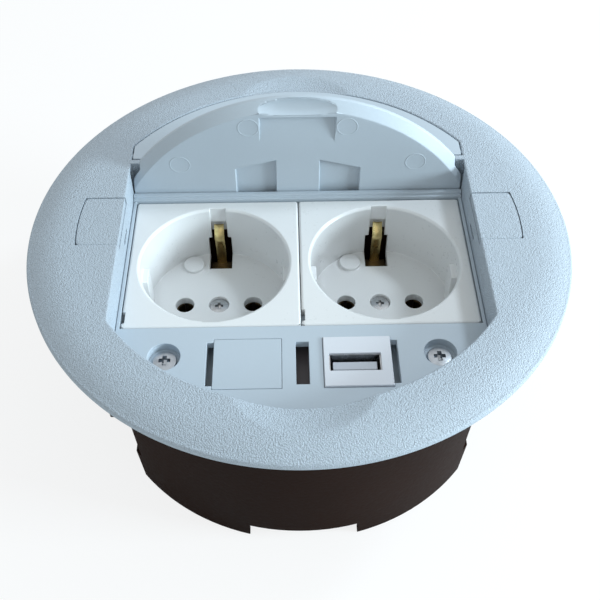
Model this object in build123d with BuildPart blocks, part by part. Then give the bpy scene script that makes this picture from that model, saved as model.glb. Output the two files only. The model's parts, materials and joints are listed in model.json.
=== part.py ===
from build123d import *
import math
import os

# Recessed desk socket block: a round trim ring set in a desk hole, a cup below it, and in the
# ring's opening two earthed sockets, a small panel with a charging socket and a blank, a lid
# that stands up and slides down into a pocket, and a flap over the rear cable well.
# Millimetres. Z = 0 is the cup's foot rim, the ring's axis is X = Y = 0, and +Z is up.
# The user sits on the -Y side.

# Trim ring
ring_r = 70.0  # outer radius
ring_edge_t = 2.0  # thickness at the outer edge
ring_rise = 2.0  # how far the middle stands above the outer edge
ring_flat_r = 58.0  # radius at which the top starts to fall away
ring_knee_in = 4.0  # the steeper outer part of the top, seen from the edge
ring_knee_drop = 0.8
ring_edge_chamfer = 0.7
seat_z = 58.5  # underside of the ring, which lies on the desk
opening_r = 55.8
opening_half_w = 46.1
wall_t = 1.8  # round walls that hang from the ring
side_wall_t = 2.2  # straight walls beside the sockets
wall_drop = 9.2  # depth of these walls under the desk surface
ledge_w = 1.5  # ledge that carries the panel and the flap
scoop_y = 50.5  # finger scoops, front and rear
scoop_half_w = 15.7
scoop_depth = 1.1
snap_bead_r = 0.8
snap_bead_w = 8.0
snap_bead_drop = 4.5
snap_bead_angles = (-112, -68, 68, 112)

# Lid and the slot that it stands in
lid_t = 3.2
lid_front_y = 20.4  # the face that looks at the user
lid_edge_gap = 0.6  # round the lid when it is shut
lid_side_gap = 0.4
lid_show = 22.7  # how far the stowed lid stands above the ring
lid_bevel_h = 2.7
lid_bevel_t = 2.2
lid_slot_gap = 0.3
lid_pivot_r = 1.0
lid_pivot_len = 1.3
lid_groove_gap = 0.15
crossbar_t = 1.5  # between the lid's slot and the flap

# Marks and hollows on the lid's inner face
notch_half_w = 10.4
notch_half_h = 3.2
notch_shift = 1.0
notch_below_top = 1.4
ramp_half_w = 10.0
ramp_low = 13.0
ramp_high = 5.0
ramp_depth = 1.6
relief_inner_x = 6.0
relief_outer_x = 17.1
relief_inner_top = 19.4
relief_outer_top = 22.3
relief_len = 34.0
relief_depth = 1.3
edge_relief_w = 2.3
edge_relief_t = 1.9
edge_relief_top = 8.0
edge_relief_len = 50.0

# Flap over the rear cable well
flap_t = 2.2
flap_gap = 0.35
flap_front_gap = 0.6
flap_below_top = 0.1
flap_pin_r = 0.8
flap_pin_len = 1.4
flap_pin_back = 1.9  # pin axis behind the flap's front edge
flap_rib_h = 1.6
flap_rib_t = 1.2
flap_rib_x = 24.0
flap_rib_front = 4.0
flap_rib_len = 15.0

# Covers of the two side cable ports
port_low_y = -6.9
port_high_y = 10.3
port_reach = 11.4  # from the opening outwards
port_corner_r = 1.2
port_cover_t = 2.2
port_gap = 0.15
port_ledge = 1.4
port_hook_w = 5.2
port_hook_t = 1.2
port_hook_drop = 5.4
port_slot_h = 1.3

# Cup
cup_wall = 2.0
cup_clear = 0.8  # between the ring's hanging walls and the cup
cup_draft = 1.7  # how much narrower the cup is at its foot
cup_seat_h = 0.6  # groove under the ring that the cup's rim sits in
cup_seat_gap = 0.3
cup_floor_z = 6.0
cup_floor_t = 2.2
bay_foot_in = 14.0  # flat sides that give the claws room, in from the foot's round wall
bay_lean = 3.5  # how far they lean outwards up to their top
bay_top_z = 44.0
bay_back_y = 14.0
foot_notch_w = 29.0
foot_notch_h = 5.6
snap_window_w = 9.0
snap_window_h = 3.0

# Socket modules, one each side of the middle
module_pitch = 45.0
module_gap = 0.2
module_len = 44.5
module_y = -4.5
module_corner_r = 0.8
module_edge_bevel = 0.4
module_face_t = 2.5
module_body_side_in = 1.4  # the body under the face, in from the face's sides and ends
module_body_end_in = 0.55
module_body_w = module_pitch - module_gap - 2 * module_body_side_in
module_body_len = module_len - 2 * module_body_end_in
module_body_h = 6.8
module_body_wall = 1.6
well_depth = 9.2  # from the ring's top down to the faces
pry_notch_len = 3.6
pry_notch_t = 0.8
pry_notch_in = 1.6

# Plug recess, to the usual size of an earthed two-pin socket
recess_r = 19.6
recess_depth = 17.5
recess_y = -5.0
recess_wall = 1.4
recess_floor_t = 2.5
recess_rim_bevel = 0.6
guide_w = 5.0
guide_t = 1.6
guide_below_face = 5.0
pin_spacing = 19.0
pin_hole_r = 2.55
centre_head_r = 2.7
centre_head_t = 1.3
centre_shank_r = 1.45
centre_screw_len = 12.0
head_gap = 0.1
earth_slot_w = 4.4
earth_slot_top = 5.2  # below the face
earth_slot_mid = 10.9
earth_foot_slot_w = 6.4
earth_foot_slot_len = 6.1
earth_groove_t = 0.6
boss_r = 3.0
boss_h = 0.9
boss_x = -7.7
boss_y = 14.6

# Base block under each recess, with its contacts
base_w = 40.0
base_len = 38.0
base_h = 18.9
base_corner = 4.0
sleeve_r = 3.2
sleeve_bore_r = 2.45
sleeve_slit = 1.0
sleeve_slit_len = 9.0
contact_gap = 0.3
terminal_w = 6.4
terminal_h = 6.6
terminal_low = 0.7  # above the base's underside
line_shift = -7.0  # wire holes, along Y from the recess's middle
neutral_shift = 7.0
earth_shift = 14.0
terminal_half_len = 3.3
wire_r = 1.25
wire_gap = 0.05
wire_lane_z = 10.7
wire_bend = 2.4
wire_in = 5.0
terminal_screw_r = 1.4
terminal_head_r = 2.2
terminal_head_t = 1.2
terminal_access_r = 2.6

# Earth bracket
bracket_t = 0.8
bracket_w = 6.0
bracket_arm_w = 3.4
bracket_bend_r = 1.0
bracket_drop = 1.3  # its foot below the recess's floor
bracket_rise_r = 18.9
bracket_bulge_r = 17.7
bracket_tip_r = 20.2
bracket_waist = 14.8  # heights below the face
bracket_bulge = 9.6
bracket_tip = 5.7
bracket_leg_w = 5.0
bracket_channel_w = 6.8
bracket_channel_h = 2.2

# Panel in front of the sockets, with the frame that carries them
panel_t = 2.2
panel_gap = 0.15
frame_low_z = 44.0
rail_in = 2.05
frame_front_t = 1.5
mullion_w = 2.4
bar_rise = 1.5
bar_t = 2.0
bar_step_t = 0.7  # low step along the bar's front
bar_step_drop = 0.9
insert_w = 16.4
insert_len = 14.6
insert_x = 13.25
insert_y = -38.1
insert_gap = 0.1
latch_slot_w = 1.6
latch_slot_len = 12.7
centre_slot_w = 3.2
centre_slot_len = 12.5
insert_leg_w = 6.0
insert_leg_t = 1.2
insert_leg_h = 4.0

# USB insert
usb_face_rise = 0.5
usb_shift = -0.65
usb_open_w = 12.5
usb_open_h = 5.1
usb_shell_t = 0.35
usb_open_y = -38.4
usb_depth = 13.0
usb_body_w = 15.2
usb_body_len = 8.0
usb_tongue_w = 11.3
usb_tongue_t = 1.9
usb_tongue_sink = 1.0
usb_tongue_shift = -0.95
usb_contact_w = 1.1
usb_contact_t = 0.25
usb_contact_pitch = 2.5
usb_contact_len = 9.0
board_w = 17.0
board_len = 14.0
board_t = 1.6

# Clamp claws and their screws
clamp_x = 33.4
clamp_y = -35.7
clamp_head_r = 3.4
clamp_head_t = 2.0
clamp_bore_r = 4.0
clamp_bore_depth = 2.5
clamp_floor_t = 1.4
clamp_boss_r = 5.2
clamp_screw_r = 2.0
clamp_foot_r = 4.0
clamp_foot_h = 4.5
clamp_tip_in = 3.5
claw_low_z = 30.8
claw_t = 5.2
claw_reach = 16.2
claw_root_r = 5.2
claw_half_w = 2.6
claw_tooth = 0.7
claw_teeth = 3
claw_tooth_pitch = 2.1
claw_tooth_lean = 30
claw_swing = 45
nut_r = 3.5
nut_flange_r = 4.4
nut_flange_t = 0.8
run_fit = 0.05
window_front_y = -39.2
window_back_y = -21.5
window_low_z = 12.4

# Cable inlet in the cup's floor
inlet_in = 14.7  # from the cup's foot to the middle of the inlet
inlet_bore_r = 4.0
grommet_r = 7.6
grommet_neck_r = 6.0
grommet_lip = 1.1

# Pocket that the lid slides down into, and the screws that hold it to the cup
pocket_wall = 1.8
pocket_side_wall = 2.2
pocket_floor_t = 1.8
pocket_lug_len = 8.0
pocket_lug_w = 9.0
pocket_lug_t = 3.0
pocket_lug_x = 30.0
pocket_screw_r = 1.4
pocket_screw_in = 5.0
pocket_head_r = 2.6
pocket_head_t = 1.6
pocket_boss_r = 3.4
pocket_boss_h = 4.0
touch = 0.1  # gap between pieces that are laid on each other

# Worked out from the sizes above
ring_top_z = seat_z + ring_edge_t + ring_rise
wall_low_z = seat_z - wall_drop
wall_r = opening_r + wall_t
wall_half_w = opening_half_w + side_wall_t
face_z = ring_top_z - well_depth
face_low_z = face_z - module_face_t
recess_floor_z = face_z - recess_depth
recess_low_z = recess_floor_z - recess_floor_t
base_top_z = recess_low_z - touch
base_low_z = base_top_z - base_h
lid_back_y = lid_front_y + lid_t
lid_mid_y = lid_front_y + lid_t / 2
lid_r = opening_r - lid_edge_gap
lid_half_w = opening_half_w - lid_side_gap
lid_top_z = ring_top_z + lid_show
lid_len = lid_r + lid_back_y
lid_low_z = lid_top_z - lid_len
lid_pivot_z = lid_low_z + lid_t / 2
lid_raise = ring_top_z - touch - lid_t / 2 - lid_pivot_z
slot_back_y = lid_back_y + lid_slot_gap
slot_front_y = lid_front_y - lid_slot_gap
crossbar_back_y = slot_back_y + crossbar_t
flap_front_y = crossbar_back_y + flap_front_gap
flap_top_z = ring_top_z - flap_below_top
flap_low_z = flap_top_z - flap_t
flap_pin_y = flap_front_y + flap_pin_back
flap_pin_z = flap_low_z + flap_t / 2
cup_top_z = seat_z + cup_seat_h - touch
cup_top_r = wall_r + cup_clear + cup_wall
cup_foot_r = cup_top_r - cup_draft
bay_foot_x = cup_foot_r - bay_foot_in
inlet_y = inlet_in - cup_foot_r
panel_low_z = face_z - panel_t
rail_top_z = face_low_z - touch
frame_half_w = opening_half_w - panel_gap
frame_open_front_y = module_y - module_len / 2 - panel_gap
bar_front_y = slot_front_y - bar_t
aperture_half_w = module_pitch + touch
frame_front_y = frame_open_front_y - frame_front_t
clamp_seat_z = face_z - clamp_bore_depth
clamp_boss_low_z = clamp_seat_z - clamp_floor_t
cup_floor_top_z = cup_floor_z + cup_floor_t
module_x = module_pitch / 2
module_w = module_pitch - module_gap
port_mid_y = (port_low_y + port_high_y) / 2
port_plate_low_z = ring_top_z - port_cover_t
port_slot_z = port_plate_low_z - port_hook_drop + port_slot_h
bracket_z = recess_low_z - bracket_drop
terminal_low_z = base_low_z + terminal_low
terminal_top_z = terminal_low_z + terminal_h
terminal_mid_z = terminal_low_z + terminal_h / 2
pocket_top_z = wall_low_z - touch
pocket_floor_z = lid_low_z - touch
pocket_low_z = pocket_floor_z - pocket_floor_t
pocket_front_y = slot_front_y - pocket_wall
pocket_back_y = slot_back_y + pocket_wall
pocket_half_w = opening_half_w + pocket_side_wall
groove_reach = lid_half_w + lid_pivot_len + lid_groove_gap

sides = {"left": -1, "right": 1}


def finish(piece, name):
    """Label a finished piece and write it."""
    piece.part.label = name
    export_step(piece.part, f"parts/{name}.step")


def flat_sided_disc(radius, half_w, low_y, high_y):
    """A disc with flat sides, kept between two lines across it, in the open sketch."""
    Circle(radius)
    with Locations((0, (low_y + high_y) / 2)):
        Rectangle(2 * half_w, high_y - low_y, mode=Mode.INTERSECT)


def block(x0, x1, y0, y1, z0, z1, mode=Mode.ADD):
    """A box between two corners, in the open part."""
    with Locations(((x0 + x1) / 2, (y0 + y1) / 2, (z0 + z1) / 2)):
        Box(abs(x1 - x0), abs(y1 - y0), abs(z1 - z0), mode=mode)


def upright(x, y, z0, z1, radius, mode=Mode.ADD):
    """A round bar or hole along Z, in the open part."""
    with Locations((x, y, (z0 + z1) / 2)):
        Cylinder(radius, z1 - z0, mode=mode)


def bar_along_x(x0, x1, y, z, radius, mode=Mode.ADD):
    """A round bar or hole along X, in the open part."""
    with Locations(((x0 + x1) / 2, y, z)):
        Cylinder(radius, abs(x1 - x0), rotation=(0, 90, 0), mode=mode)


def bar_along_y(x, y0, y1, z, radius, mode=Mode.ADD):
    """A round bar or hole along Y, in the open part."""
    with Locations((x, (y0 + y1) / 2, z)):
        Cylinder(radius, abs(y1 - y0), rotation=(90, 0, 0), mode=mode)


def upright_screw(x, y, head_low_z, head_r, head_t, shank_r, tip_z):
    """A screw with its head up, in the open part."""
    upright(x, y, head_low_z, head_low_z + head_t, head_r)
    upright(x, y, tip_z, head_low_z, shank_r)


def port_outline(sketch, side, gap):
    """Outline of a side cable port, its outer side round like the ring, drawn in by a gap."""
    inner_x = opening_half_w + gap
    outer_r = opening_half_w + port_reach - gap
    Circle(outer_r)
    with Locations((side * (inner_x + outer_r) / 2, port_mid_y)):
        Rectangle(outer_r - inner_x, port_high_y - port_low_y - 2 * gap, mode=Mode.INTERSECT)
    round_edge = sketch.edges().filter_by(GeomType.CIRCLE)
    fillet(round_edge.vertices(), port_corner_r)


def trim_ring_piece():
    """The ring: domed top, hanging walls, ledges, scoops, cable ports and hinge holes."""
    with BuildPart() as trim_ring:
        with BuildSketch(Plane.XZ):
            with BuildLine():
                Polyline(
                    (0, seat_z), (0, ring_top_z), (ring_flat_r, ring_top_z),
                    (ring_r - ring_knee_in, ring_top_z - ring_knee_drop),
                    (ring_r - ring_edge_chamfer, seat_z + ring_edge_t),
                    (ring_r, seat_z + ring_edge_t - ring_edge_chamfer), (ring_r, seat_z),
                    close=True,
                )
            make_face()
        revolve(axis=Axis.Z)
        with BuildSketch(Plane.XY.offset(wall_low_z)):
            flat_sided_disc(wall_r, wall_half_w, -wall_r, wall_r)
        extrude(amount=wall_drop)
        # Groove for the cup's rim, then the snap beads on the walls
        with BuildSketch(Plane.XY.offset(seat_z)):
            Circle(cup_top_r + cup_seat_gap)
            Circle(wall_r, mode=Mode.SUBTRACT)
        extrude(amount=cup_seat_h, mode=Mode.SUBTRACT)
        for angle in snap_bead_angles:
            with PolarLocations(wall_r, 1, angle):
                with Locations((0, 0, seat_z - snap_bead_drop)):
                    Cylinder(snap_bead_r, snap_bead_w, rotation=(90, 0, 0))
        # The well in front, down to the panel's ledge and on through
        with BuildSketch(Plane.XY.offset(panel_low_z - touch)):
            flat_sided_disc(opening_r, opening_half_w, -opening_r, slot_back_y)
        extrude(amount=ring_top_z - panel_low_z + touch, mode=Mode.SUBTRACT)
        with BuildSketch(Plane.XY.offset(wall_low_z)):
            flat_sided_disc(opening_r - ledge_w, opening_half_w, -opening_r, slot_back_y)
        extrude(amount=ring_top_z - wall_low_z, mode=Mode.SUBTRACT)
        # The rear well, with the flap's ledge along its arc
        with BuildSketch(Plane.XY.offset(flap_low_z - touch)):
            flat_sided_disc(opening_r, opening_half_w, crossbar_back_y, opening_r)
        extrude(amount=ring_top_z - flap_low_z + touch, mode=Mode.SUBTRACT)
        with BuildSketch(Plane.XY.offset(wall_low_z)):
            flat_sided_disc(opening_r - ledge_w, opening_half_w, crossbar_back_y, opening_r)
        extrude(amount=ring_top_z - wall_low_z, mode=Mode.SUBTRACT)
        scoop_sphere_r = (scoop_half_w**2 + scoop_depth**2) / (2 * scoop_depth)
        scoop_centre_z = ring_top_z + scoop_sphere_r - scoop_depth
        with Locations((0, -scoop_y, scoop_centre_z), (0, scoop_y, scoop_centre_z)):
            Sphere(scoop_sphere_r, mode=Mode.SUBTRACT)
        for side in sides.values():
            trim_ring_side(side)
    finish(trim_ring, "trim_ring")


def trim_ring_side(side):
    """Cable port, hook slot, lid groove and flap hole on one side, cut from the open part."""
    with BuildSketch(Plane.XY.offset(port_plate_low_z)) as port:
        port_outline(port, side, 0)
    extrude(port.sketch, amount=port_cover_t, mode=Mode.SUBTRACT)
    block(
        side * (wall_half_w + touch), side * (opening_half_w + port_reach - port_ledge),
        port_low_y + port_ledge, port_high_y - port_ledge,
        seat_z, ring_top_z, mode=Mode.SUBTRACT,
    )
    block(
        side * opening_half_w, side * wall_half_w,
        port_mid_y - port_hook_w / 2 - port_gap, port_mid_y + port_hook_w / 2 + port_gap,
        port_slot_z - port_slot_h / 2, port_slot_z + port_slot_h / 2, mode=Mode.SUBTRACT,
    )
    groove_half = lid_pivot_r + lid_groove_gap
    block(
        side * opening_half_w, side * groove_reach,
        lid_mid_y - groove_half, lid_mid_y + groove_half,
        wall_low_z, lid_pivot_z + lid_raise + groove_half, mode=Mode.SUBTRACT,
    )
    bar_along_x(
        side * opening_half_w, side * wall_half_w, flap_pin_y, flap_pin_z,
        flap_pin_r + run_fit, mode=Mode.SUBTRACT,
    )


def port_cover_piece(name, side):
    """Snap-in cover of a cable port: a plate with a hook that catches in the well's wall."""
    hook_x = wall_half_w + 2 * touch
    lip_x = opening_half_w + port_reach - port_ledge - port_gap
    with BuildPart() as cover:
        with BuildSketch(Plane.XY.offset(port_plate_low_z + touch)) as plate:
            port_outline(plate, side, port_gap)
        extrude(amount=port_cover_t - 2 * touch)
        block(
            side * hook_x, side * (hook_x + port_hook_t),
            port_mid_y - port_hook_w / 2, port_mid_y + port_hook_w / 2,
            port_plate_low_z - port_hook_drop, port_plate_low_z + 2 * touch,
        )
        block(
            side * (hook_x - side_wall_t / 2), side * (hook_x + touch),
            port_mid_y - port_hook_w / 2, port_mid_y + port_hook_w / 2,
            port_slot_z - port_slot_h / 2 + touch, port_slot_z + port_slot_h / 2 - touch,
        )
        block(
            side * (lip_x - port_hook_t), side * lip_x,
            port_low_y + port_ledge + port_gap, port_high_y - port_ledge - port_gap,
            seat_z, port_plate_low_z + 2 * touch,
        )
    finish(cover, name)


def lid_piece():
    """The lid, standing in its slot: its round end up, its pivots at the foot."""
    with BuildPart() as lid:
        with BuildSketch(Plane.XZ.offset(-lid_back_y)):
            with Locations((0, lid_top_z - lid_r)):
                Circle(lid_r)
            with Locations((0, lid_low_z)):
                Rectangle(2 * lid_half_w, 2 * lid_len, mode=Mode.INTERSECT)
            with Locations((0, lid_low_z + (lid_top_z - lid_r - lid_low_z) / 2)):
                Rectangle(2 * lid_half_w, lid_top_z - lid_r - lid_low_z)
            with Locations((0, lid_low_z - lid_len / 2)):
                Rectangle(4 * lid_half_w, lid_len, mode=Mode.SUBTRACT)
        extrude(amount=lid_t)
        front_face = lid.faces().sort_by(Axis.Y)[0]
        round_edges = front_face.edges().filter_by(GeomType.CIRCLE)
        chamfer(round_edges, lid_bevel_h, lid_bevel_t, reference=front_face)
        foot_edges = lid.edges().filter_by(Axis.X).group_by(Axis.Z)[0]
        fillet(foot_edges, lid_t / 2 - touch)
        # Finger notch across the top edge, round from end to end
        notch_y = lid_front_y - notch_shift
        notch_z = lid_top_z - notch_below_top
        with BuildSketch(Plane((0, notch_y, notch_z), x_dir=(1, 0, 0), z_dir=(0, 0, 1))):
            Ellipse(notch_half_w, notch_half_h)
            with Locations((0, -notch_half_h / 2)):
                Rectangle(2 * notch_half_w, notch_half_h, mode=Mode.SUBTRACT)
        revolve(axis=Axis((0, notch_y, notch_z), (1, 0, 0)), mode=Mode.SUBTRACT)
        # Sloped finger rest under it
        with BuildSketch(Plane.YZ):
            with BuildLine():
                Polyline(
                    (lid_front_y, lid_top_z - ramp_low), (lid_front_y, lid_top_z - ramp_high),
                    (lid_front_y + ramp_depth, lid_top_z - ramp_high), close=True,
                )
            make_face()
        extrude(amount=ramp_half_w, both=True, mode=Mode.SUBTRACT)
        for side in sides.values():
            lid_side(side)
    finish(lid, "lid")


def lid_side(side):
    """The hollow, the edge rebate and the pivot on one side of the lid, in the open part."""
    low_z = lid_top_z - relief_inner_top - relief_len
    with BuildSketch(Plane.XZ.offset(-lid_front_y)) as hollow:
        with BuildLine():
            Polyline(
                (side * relief_inner_x, lid_top_z - relief_inner_top),
                (side * relief_outer_x, lid_top_z - relief_outer_top),
                (side * relief_outer_x, low_z), (side * relief_inner_x, low_z), close=True,
            )
        make_face()
    extrude(hollow.sketch, amount=-relief_depth, mode=Mode.SUBTRACT)
    block(
        side * (lid_half_w - edge_relief_w), side * lid_half_w,
        lid_back_y - edge_relief_t, lid_back_y,
        lid_top_z - edge_relief_top - edge_relief_len, lid_top_z - edge_relief_top,
        mode=Mode.SUBTRACT,
    )
    bar_along_x(
        side * (lid_half_w - touch), side * (lid_half_w + lid_pivot_len),
        lid_mid_y, lid_pivot_z, lid_pivot_r,
    )


def rear_flap_piece():
    """The flap over the rear well, lying shut, with a pin at each front corner."""
    flap_r = opening_r - flap_gap
    flap_half_w = opening_half_w - flap_gap
    with BuildPart() as flap:
        with BuildSketch(Plane.XY.offset(flap_low_z)):
            flat_sided_disc(flap_r, flap_half_w, flap_front_y, flap_r)
        extrude(amount=flap_t)
        for side in sides.values():
            bar_along_x(
                side * (flap_half_w - touch), side * (flap_half_w + flap_pin_len),
                flap_pin_y, flap_pin_z, flap_pin_r,
            )
        rib_front_y = flap_pin_y + flap_rib_front
        for rib_x in (-flap_rib_x, 0, flap_rib_x):
            block(
                rib_x - flap_rib_t / 2, rib_x + flap_rib_t / 2,
                rib_front_y, rib_front_y + flap_rib_len,
                flap_low_z - flap_rib_h, flap_low_z + touch,
            )
    finish(flap, "rear_flap")


def insert_panel_piece():
    """The panel in front of the sockets, one piece with the frame that carries them."""
    with BuildPart() as panel:
        with BuildSketch(Plane.XY.offset(panel_low_z)):
            flat_sided_disc(opening_r - panel_gap, frame_half_w, -opening_r, slot_front_y)
        extrude(amount=panel_t)
        # Skirt behind the panel's edge, side rails and rear bar
        block(
            -frame_half_w, frame_half_w, frame_front_y, frame_open_front_y + rail_in,
            frame_low_z, panel_low_z + touch,
        )
        for side in sides.values():
            block(
                side * (frame_half_w - rail_in), side * frame_half_w,
                frame_front_y, bar_front_y + touch, frame_low_z, rail_top_z,
            )
        bar_top_z = face_z + bar_rise
        block(-frame_half_w, frame_half_w, bar_front_y, slot_front_y, wall_low_z, bar_top_z)
        block(
            -frame_half_w, frame_half_w, bar_front_y, bar_front_y + bar_step_t,
            bar_top_z - bar_step_drop, bar_top_z, mode=Mode.SUBTRACT,
        )
        # Aperture for the two modules, open from above down to the rails
        block(
            -aperture_half_w, aperture_half_w, frame_open_front_y, bar_front_y,
            rail_top_z, face_z, mode=Mode.SUBTRACT,
        )
        block(
            -frame_half_w + rail_in, frame_half_w - rail_in,
            frame_open_front_y, bar_front_y, frame_low_z, rail_top_z, mode=Mode.SUBTRACT,
        )
        block(
            -mullion_w / 2, mullion_w / 2, frame_front_y + touch, bar_front_y + touch,
            frame_low_z, rail_top_z,
        )
        for side in sides.values():
            panel_side(side)
        with Locations((0, insert_y, panel_low_z + panel_t / 2)):
            Box(centre_slot_w, centre_slot_len, panel_t, mode=Mode.SUBTRACT)
    finish(panel, "insert_panel")


def panel_side(side):
    """Insert aperture, latch slot and clamp screw seat on one side, in the open part."""
    half_w = insert_w / 2 + insert_gap
    with Locations((side * insert_x, insert_y, panel_low_z + panel_t / 2)):
        Box(2 * half_w, insert_len + 2 * insert_gap, panel_t, mode=Mode.SUBTRACT)
    with Locations((side * (insert_x + half_w), insert_y, panel_low_z + panel_t / 2)):
        Box(2 * latch_slot_w, latch_slot_len, panel_t, mode=Mode.SUBTRACT)
    upright(
        side * clamp_x, clamp_y, clamp_boss_low_z, panel_low_z + touch, clamp_boss_r,
    )
    upright(side * clamp_x, clamp_y, clamp_seat_z, face_z, clamp_bore_r, mode=Mode.SUBTRACT)
    upright(
        side * clamp_x, clamp_y, clamp_boss_low_z, clamp_seat_z,
        clamp_screw_r + run_fit, mode=Mode.SUBTRACT,
    )


def insert_plate(side, top_z):
    """Plate and legs that both small inserts share, in the open part."""
    with Locations((side * insert_x, insert_y, (panel_low_z + top_z) / 2)):
        Box(insert_w, insert_len, top_z - panel_low_z)
    leg_x = side * (insert_x + insert_w / 2)
    block(
        leg_x, leg_x - side * insert_leg_t,
        insert_y - insert_leg_w / 2, insert_y + insert_leg_w / 2,
        panel_low_z - insert_leg_h, panel_low_z + touch,
    )


def blank_insert_piece():
    """The blank in the left aperture."""
    with BuildPart() as blank:
        insert_plate(-1, face_z)
        leg_x = -insert_x + insert_w / 2
        block(
            leg_x, leg_x - insert_leg_t,
            insert_y - insert_leg_w / 2, insert_y + insert_leg_w / 2,
            panel_low_z - insert_leg_h, panel_low_z + touch,
        )
    finish(blank, "blank_insert")


def usb_pieces():
    """Charging socket: insert, shell, tongue, contacts and circuit board."""
    open_x = insert_x + usb_shift
    shell_w = usb_open_w + 2 * usb_shell_t
    shell_h = usb_open_h + 2 * usb_shell_t
    shell_top_z = panel_low_z
    shell_low_z = shell_top_z - usb_depth
    face_top_z = face_z + usb_face_rise
    shell_mid = (open_x, usb_open_y, (shell_top_z + shell_low_z) / 2)
    with BuildPart() as usb_insert:
        insert_plate(1, face_top_z)
        top_edges = usb_insert.faces().sort_by(Axis.Z)[-1].edges()
        fillet(top_edges, usb_face_rise / 2)
        with Locations(shell_mid):
            Box(usb_body_w, usb_body_len, usb_depth)
            Box(shell_w + 2 * touch, shell_h + 2 * touch, usb_depth, mode=Mode.SUBTRACT)
        with Locations((open_x, usb_open_y, (panel_low_z + face_top_z) / 2)):
            Box(usb_open_w, usb_open_h, face_top_z - panel_low_z, mode=Mode.SUBTRACT)
    finish(usb_insert, "usb_insert")

    with BuildPart() as usb_shell:
        with Locations(shell_mid):
            Box(shell_w, shell_h, usb_depth)
            Box(usb_open_w, usb_open_h, usb_depth, mode=Mode.SUBTRACT)
    finish(usb_shell, "usb_shell")

    tongue_y = usb_open_y + usb_tongue_shift
    tongue_back_y = tongue_y + usb_tongue_t / 2
    tongue_top_z = face_z - usb_tongue_sink
    with BuildPart() as usb_tongue:
        block(
            open_x - usb_tongue_w / 2, open_x + usb_tongue_w / 2,
            tongue_y - usb_tongue_t / 2, tongue_back_y, shell_low_z, tongue_top_z,
        )
    finish(usb_tongue, "usb_tongue")

    contacts_z = tongue_top_z - usb_tongue_sink - usb_contact_len / 2
    with BuildPart() as usb_contacts:
        with Locations((open_x, tongue_back_y + usb_contact_t / 2, contacts_z)):
            with GridLocations(usb_contact_pitch, 1, 4, 1):
                Box(usb_contact_w, usb_contact_t, usb_contact_len)
    finish(usb_contacts, "usb_contacts")

    with BuildPart() as usb_board:
        with Locations((insert_x, insert_y, shell_low_z - touch - board_t / 2)):
            Box(board_w, board_len, board_t)
    finish(usb_board, "usb_board")


def socket_housing_piece(name, side):
    """One socket: square face, round plug recess with guides, pin holes and earth slots."""
    mid_x = side * module_x
    recess_outer_r = recess_r + recess_wall
    with BuildPart() as housing:
        with BuildSketch(Plane.XY.offset(face_low_z)):
            with Locations((mid_x, module_y)):
                RectangleRounded(module_w, module_len, module_corner_r)
        extrude(amount=module_face_t)
        chamfer(housing.faces().sort_by(Axis.Z)[-1].edges(), module_edge_bevel)
        # Body below the face, open at its foot
        with BuildSketch(Plane.XY.offset(face_low_z)):
            with Locations((mid_x, module_y)):
                Rectangle(module_body_w, module_body_len)
                Rectangle(
                    module_body_w - 2 * module_body_wall, module_body_len - 2 * module_body_wall,
                    mode=Mode.SUBTRACT,
                )
        extrude(amount=-module_body_h)
        with BuildSketch(Plane.XY.offset(recess_low_z)):
            with Locations((mid_x, recess_y)):
                Circle(recess_outer_r)
        extrude(amount=face_low_z - recess_low_z)
        # Plug recess with its rounded rim
        with BuildSketch(Plane.XY.offset(recess_floor_z)):
            with Locations((mid_x, recess_y)):
                Circle(recess_r)
        extrude(amount=recess_depth, mode=Mode.SUBTRACT)
        mouth = housing.faces().sort_by(Axis.Z)[-1].edges().filter_by(GeomType.CIRCLE)
        chamfer(mouth.group_by(SortBy.RADIUS)[-1], recess_rim_bevel)
        for hand in sides.values():
            guide_x = mid_x + hand * recess_r
            block(
                guide_x - hand * guide_t, guide_x + hand * recess_wall / 2,
                recess_y - guide_w / 2, recess_y + guide_w / 2,
                recess_floor_z, face_z - guide_below_face,
            )
            upright(
                mid_x + hand * pin_spacing / 2, recess_y, recess_low_z, recess_floor_z,
                pin_hole_r, mode=Mode.SUBTRACT,
            )
            earth_opening(mid_x, hand)
        upright(mid_x + boss_x, recess_y + boss_y, recess_floor_z, recess_floor_z + boss_h, boss_r)
        with Locations((mid_x, recess_y, recess_floor_z)):
            CounterBoreHole(
                centre_shank_r + head_gap, centre_head_r + head_gap, centre_head_t + head_gap,
                recess_floor_t,
            )
        notch_front_y = module_y - module_len / 2 + pry_notch_in
        block(
            mid_x - module_w / 2, mid_x - module_w / 2 + pry_notch_t,
            notch_front_y, notch_front_y + pry_notch_len, face_low_z, face_z, mode=Mode.SUBTRACT,
        )
    finish(housing, name)


def earth_opening(mid_x, hand):
    """Groove, slot and foot opening for one earth clip, cut from the open part."""
    wall_in = recess_y + hand * (recess_r - earth_groove_t)
    wall_out = recess_y + hand * (recess_r + recess_wall)
    block(
        mid_x - earth_slot_w / 2, mid_x + earth_slot_w / 2,
        wall_in, recess_y + hand * (recess_r + earth_groove_t),
        face_z - earth_slot_top, face_z, mode=Mode.SUBTRACT,
    )
    block(
        mid_x - earth_slot_w / 2, mid_x + earth_slot_w / 2, wall_in, wall_out + hand * touch,
        face_z - earth_slot_mid, face_z - earth_slot_top, mode=Mode.SUBTRACT,
    )
    foot_in = recess_y + hand * (recess_r - earth_foot_slot_len)
    block(
        mid_x - earth_foot_slot_w / 2, mid_x + earth_foot_slot_w / 2,
        foot_in, wall_out + hand * touch,
        recess_low_z, recess_floor_z, mode=Mode.SUBTRACT,
    )
    block(
        mid_x - earth_foot_slot_w / 2, mid_x + earth_foot_slot_w / 2,
        wall_in, wall_out + hand * touch,
        recess_floor_z, face_z - earth_slot_mid, mode=Mode.SUBTRACT,
    )


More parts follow.
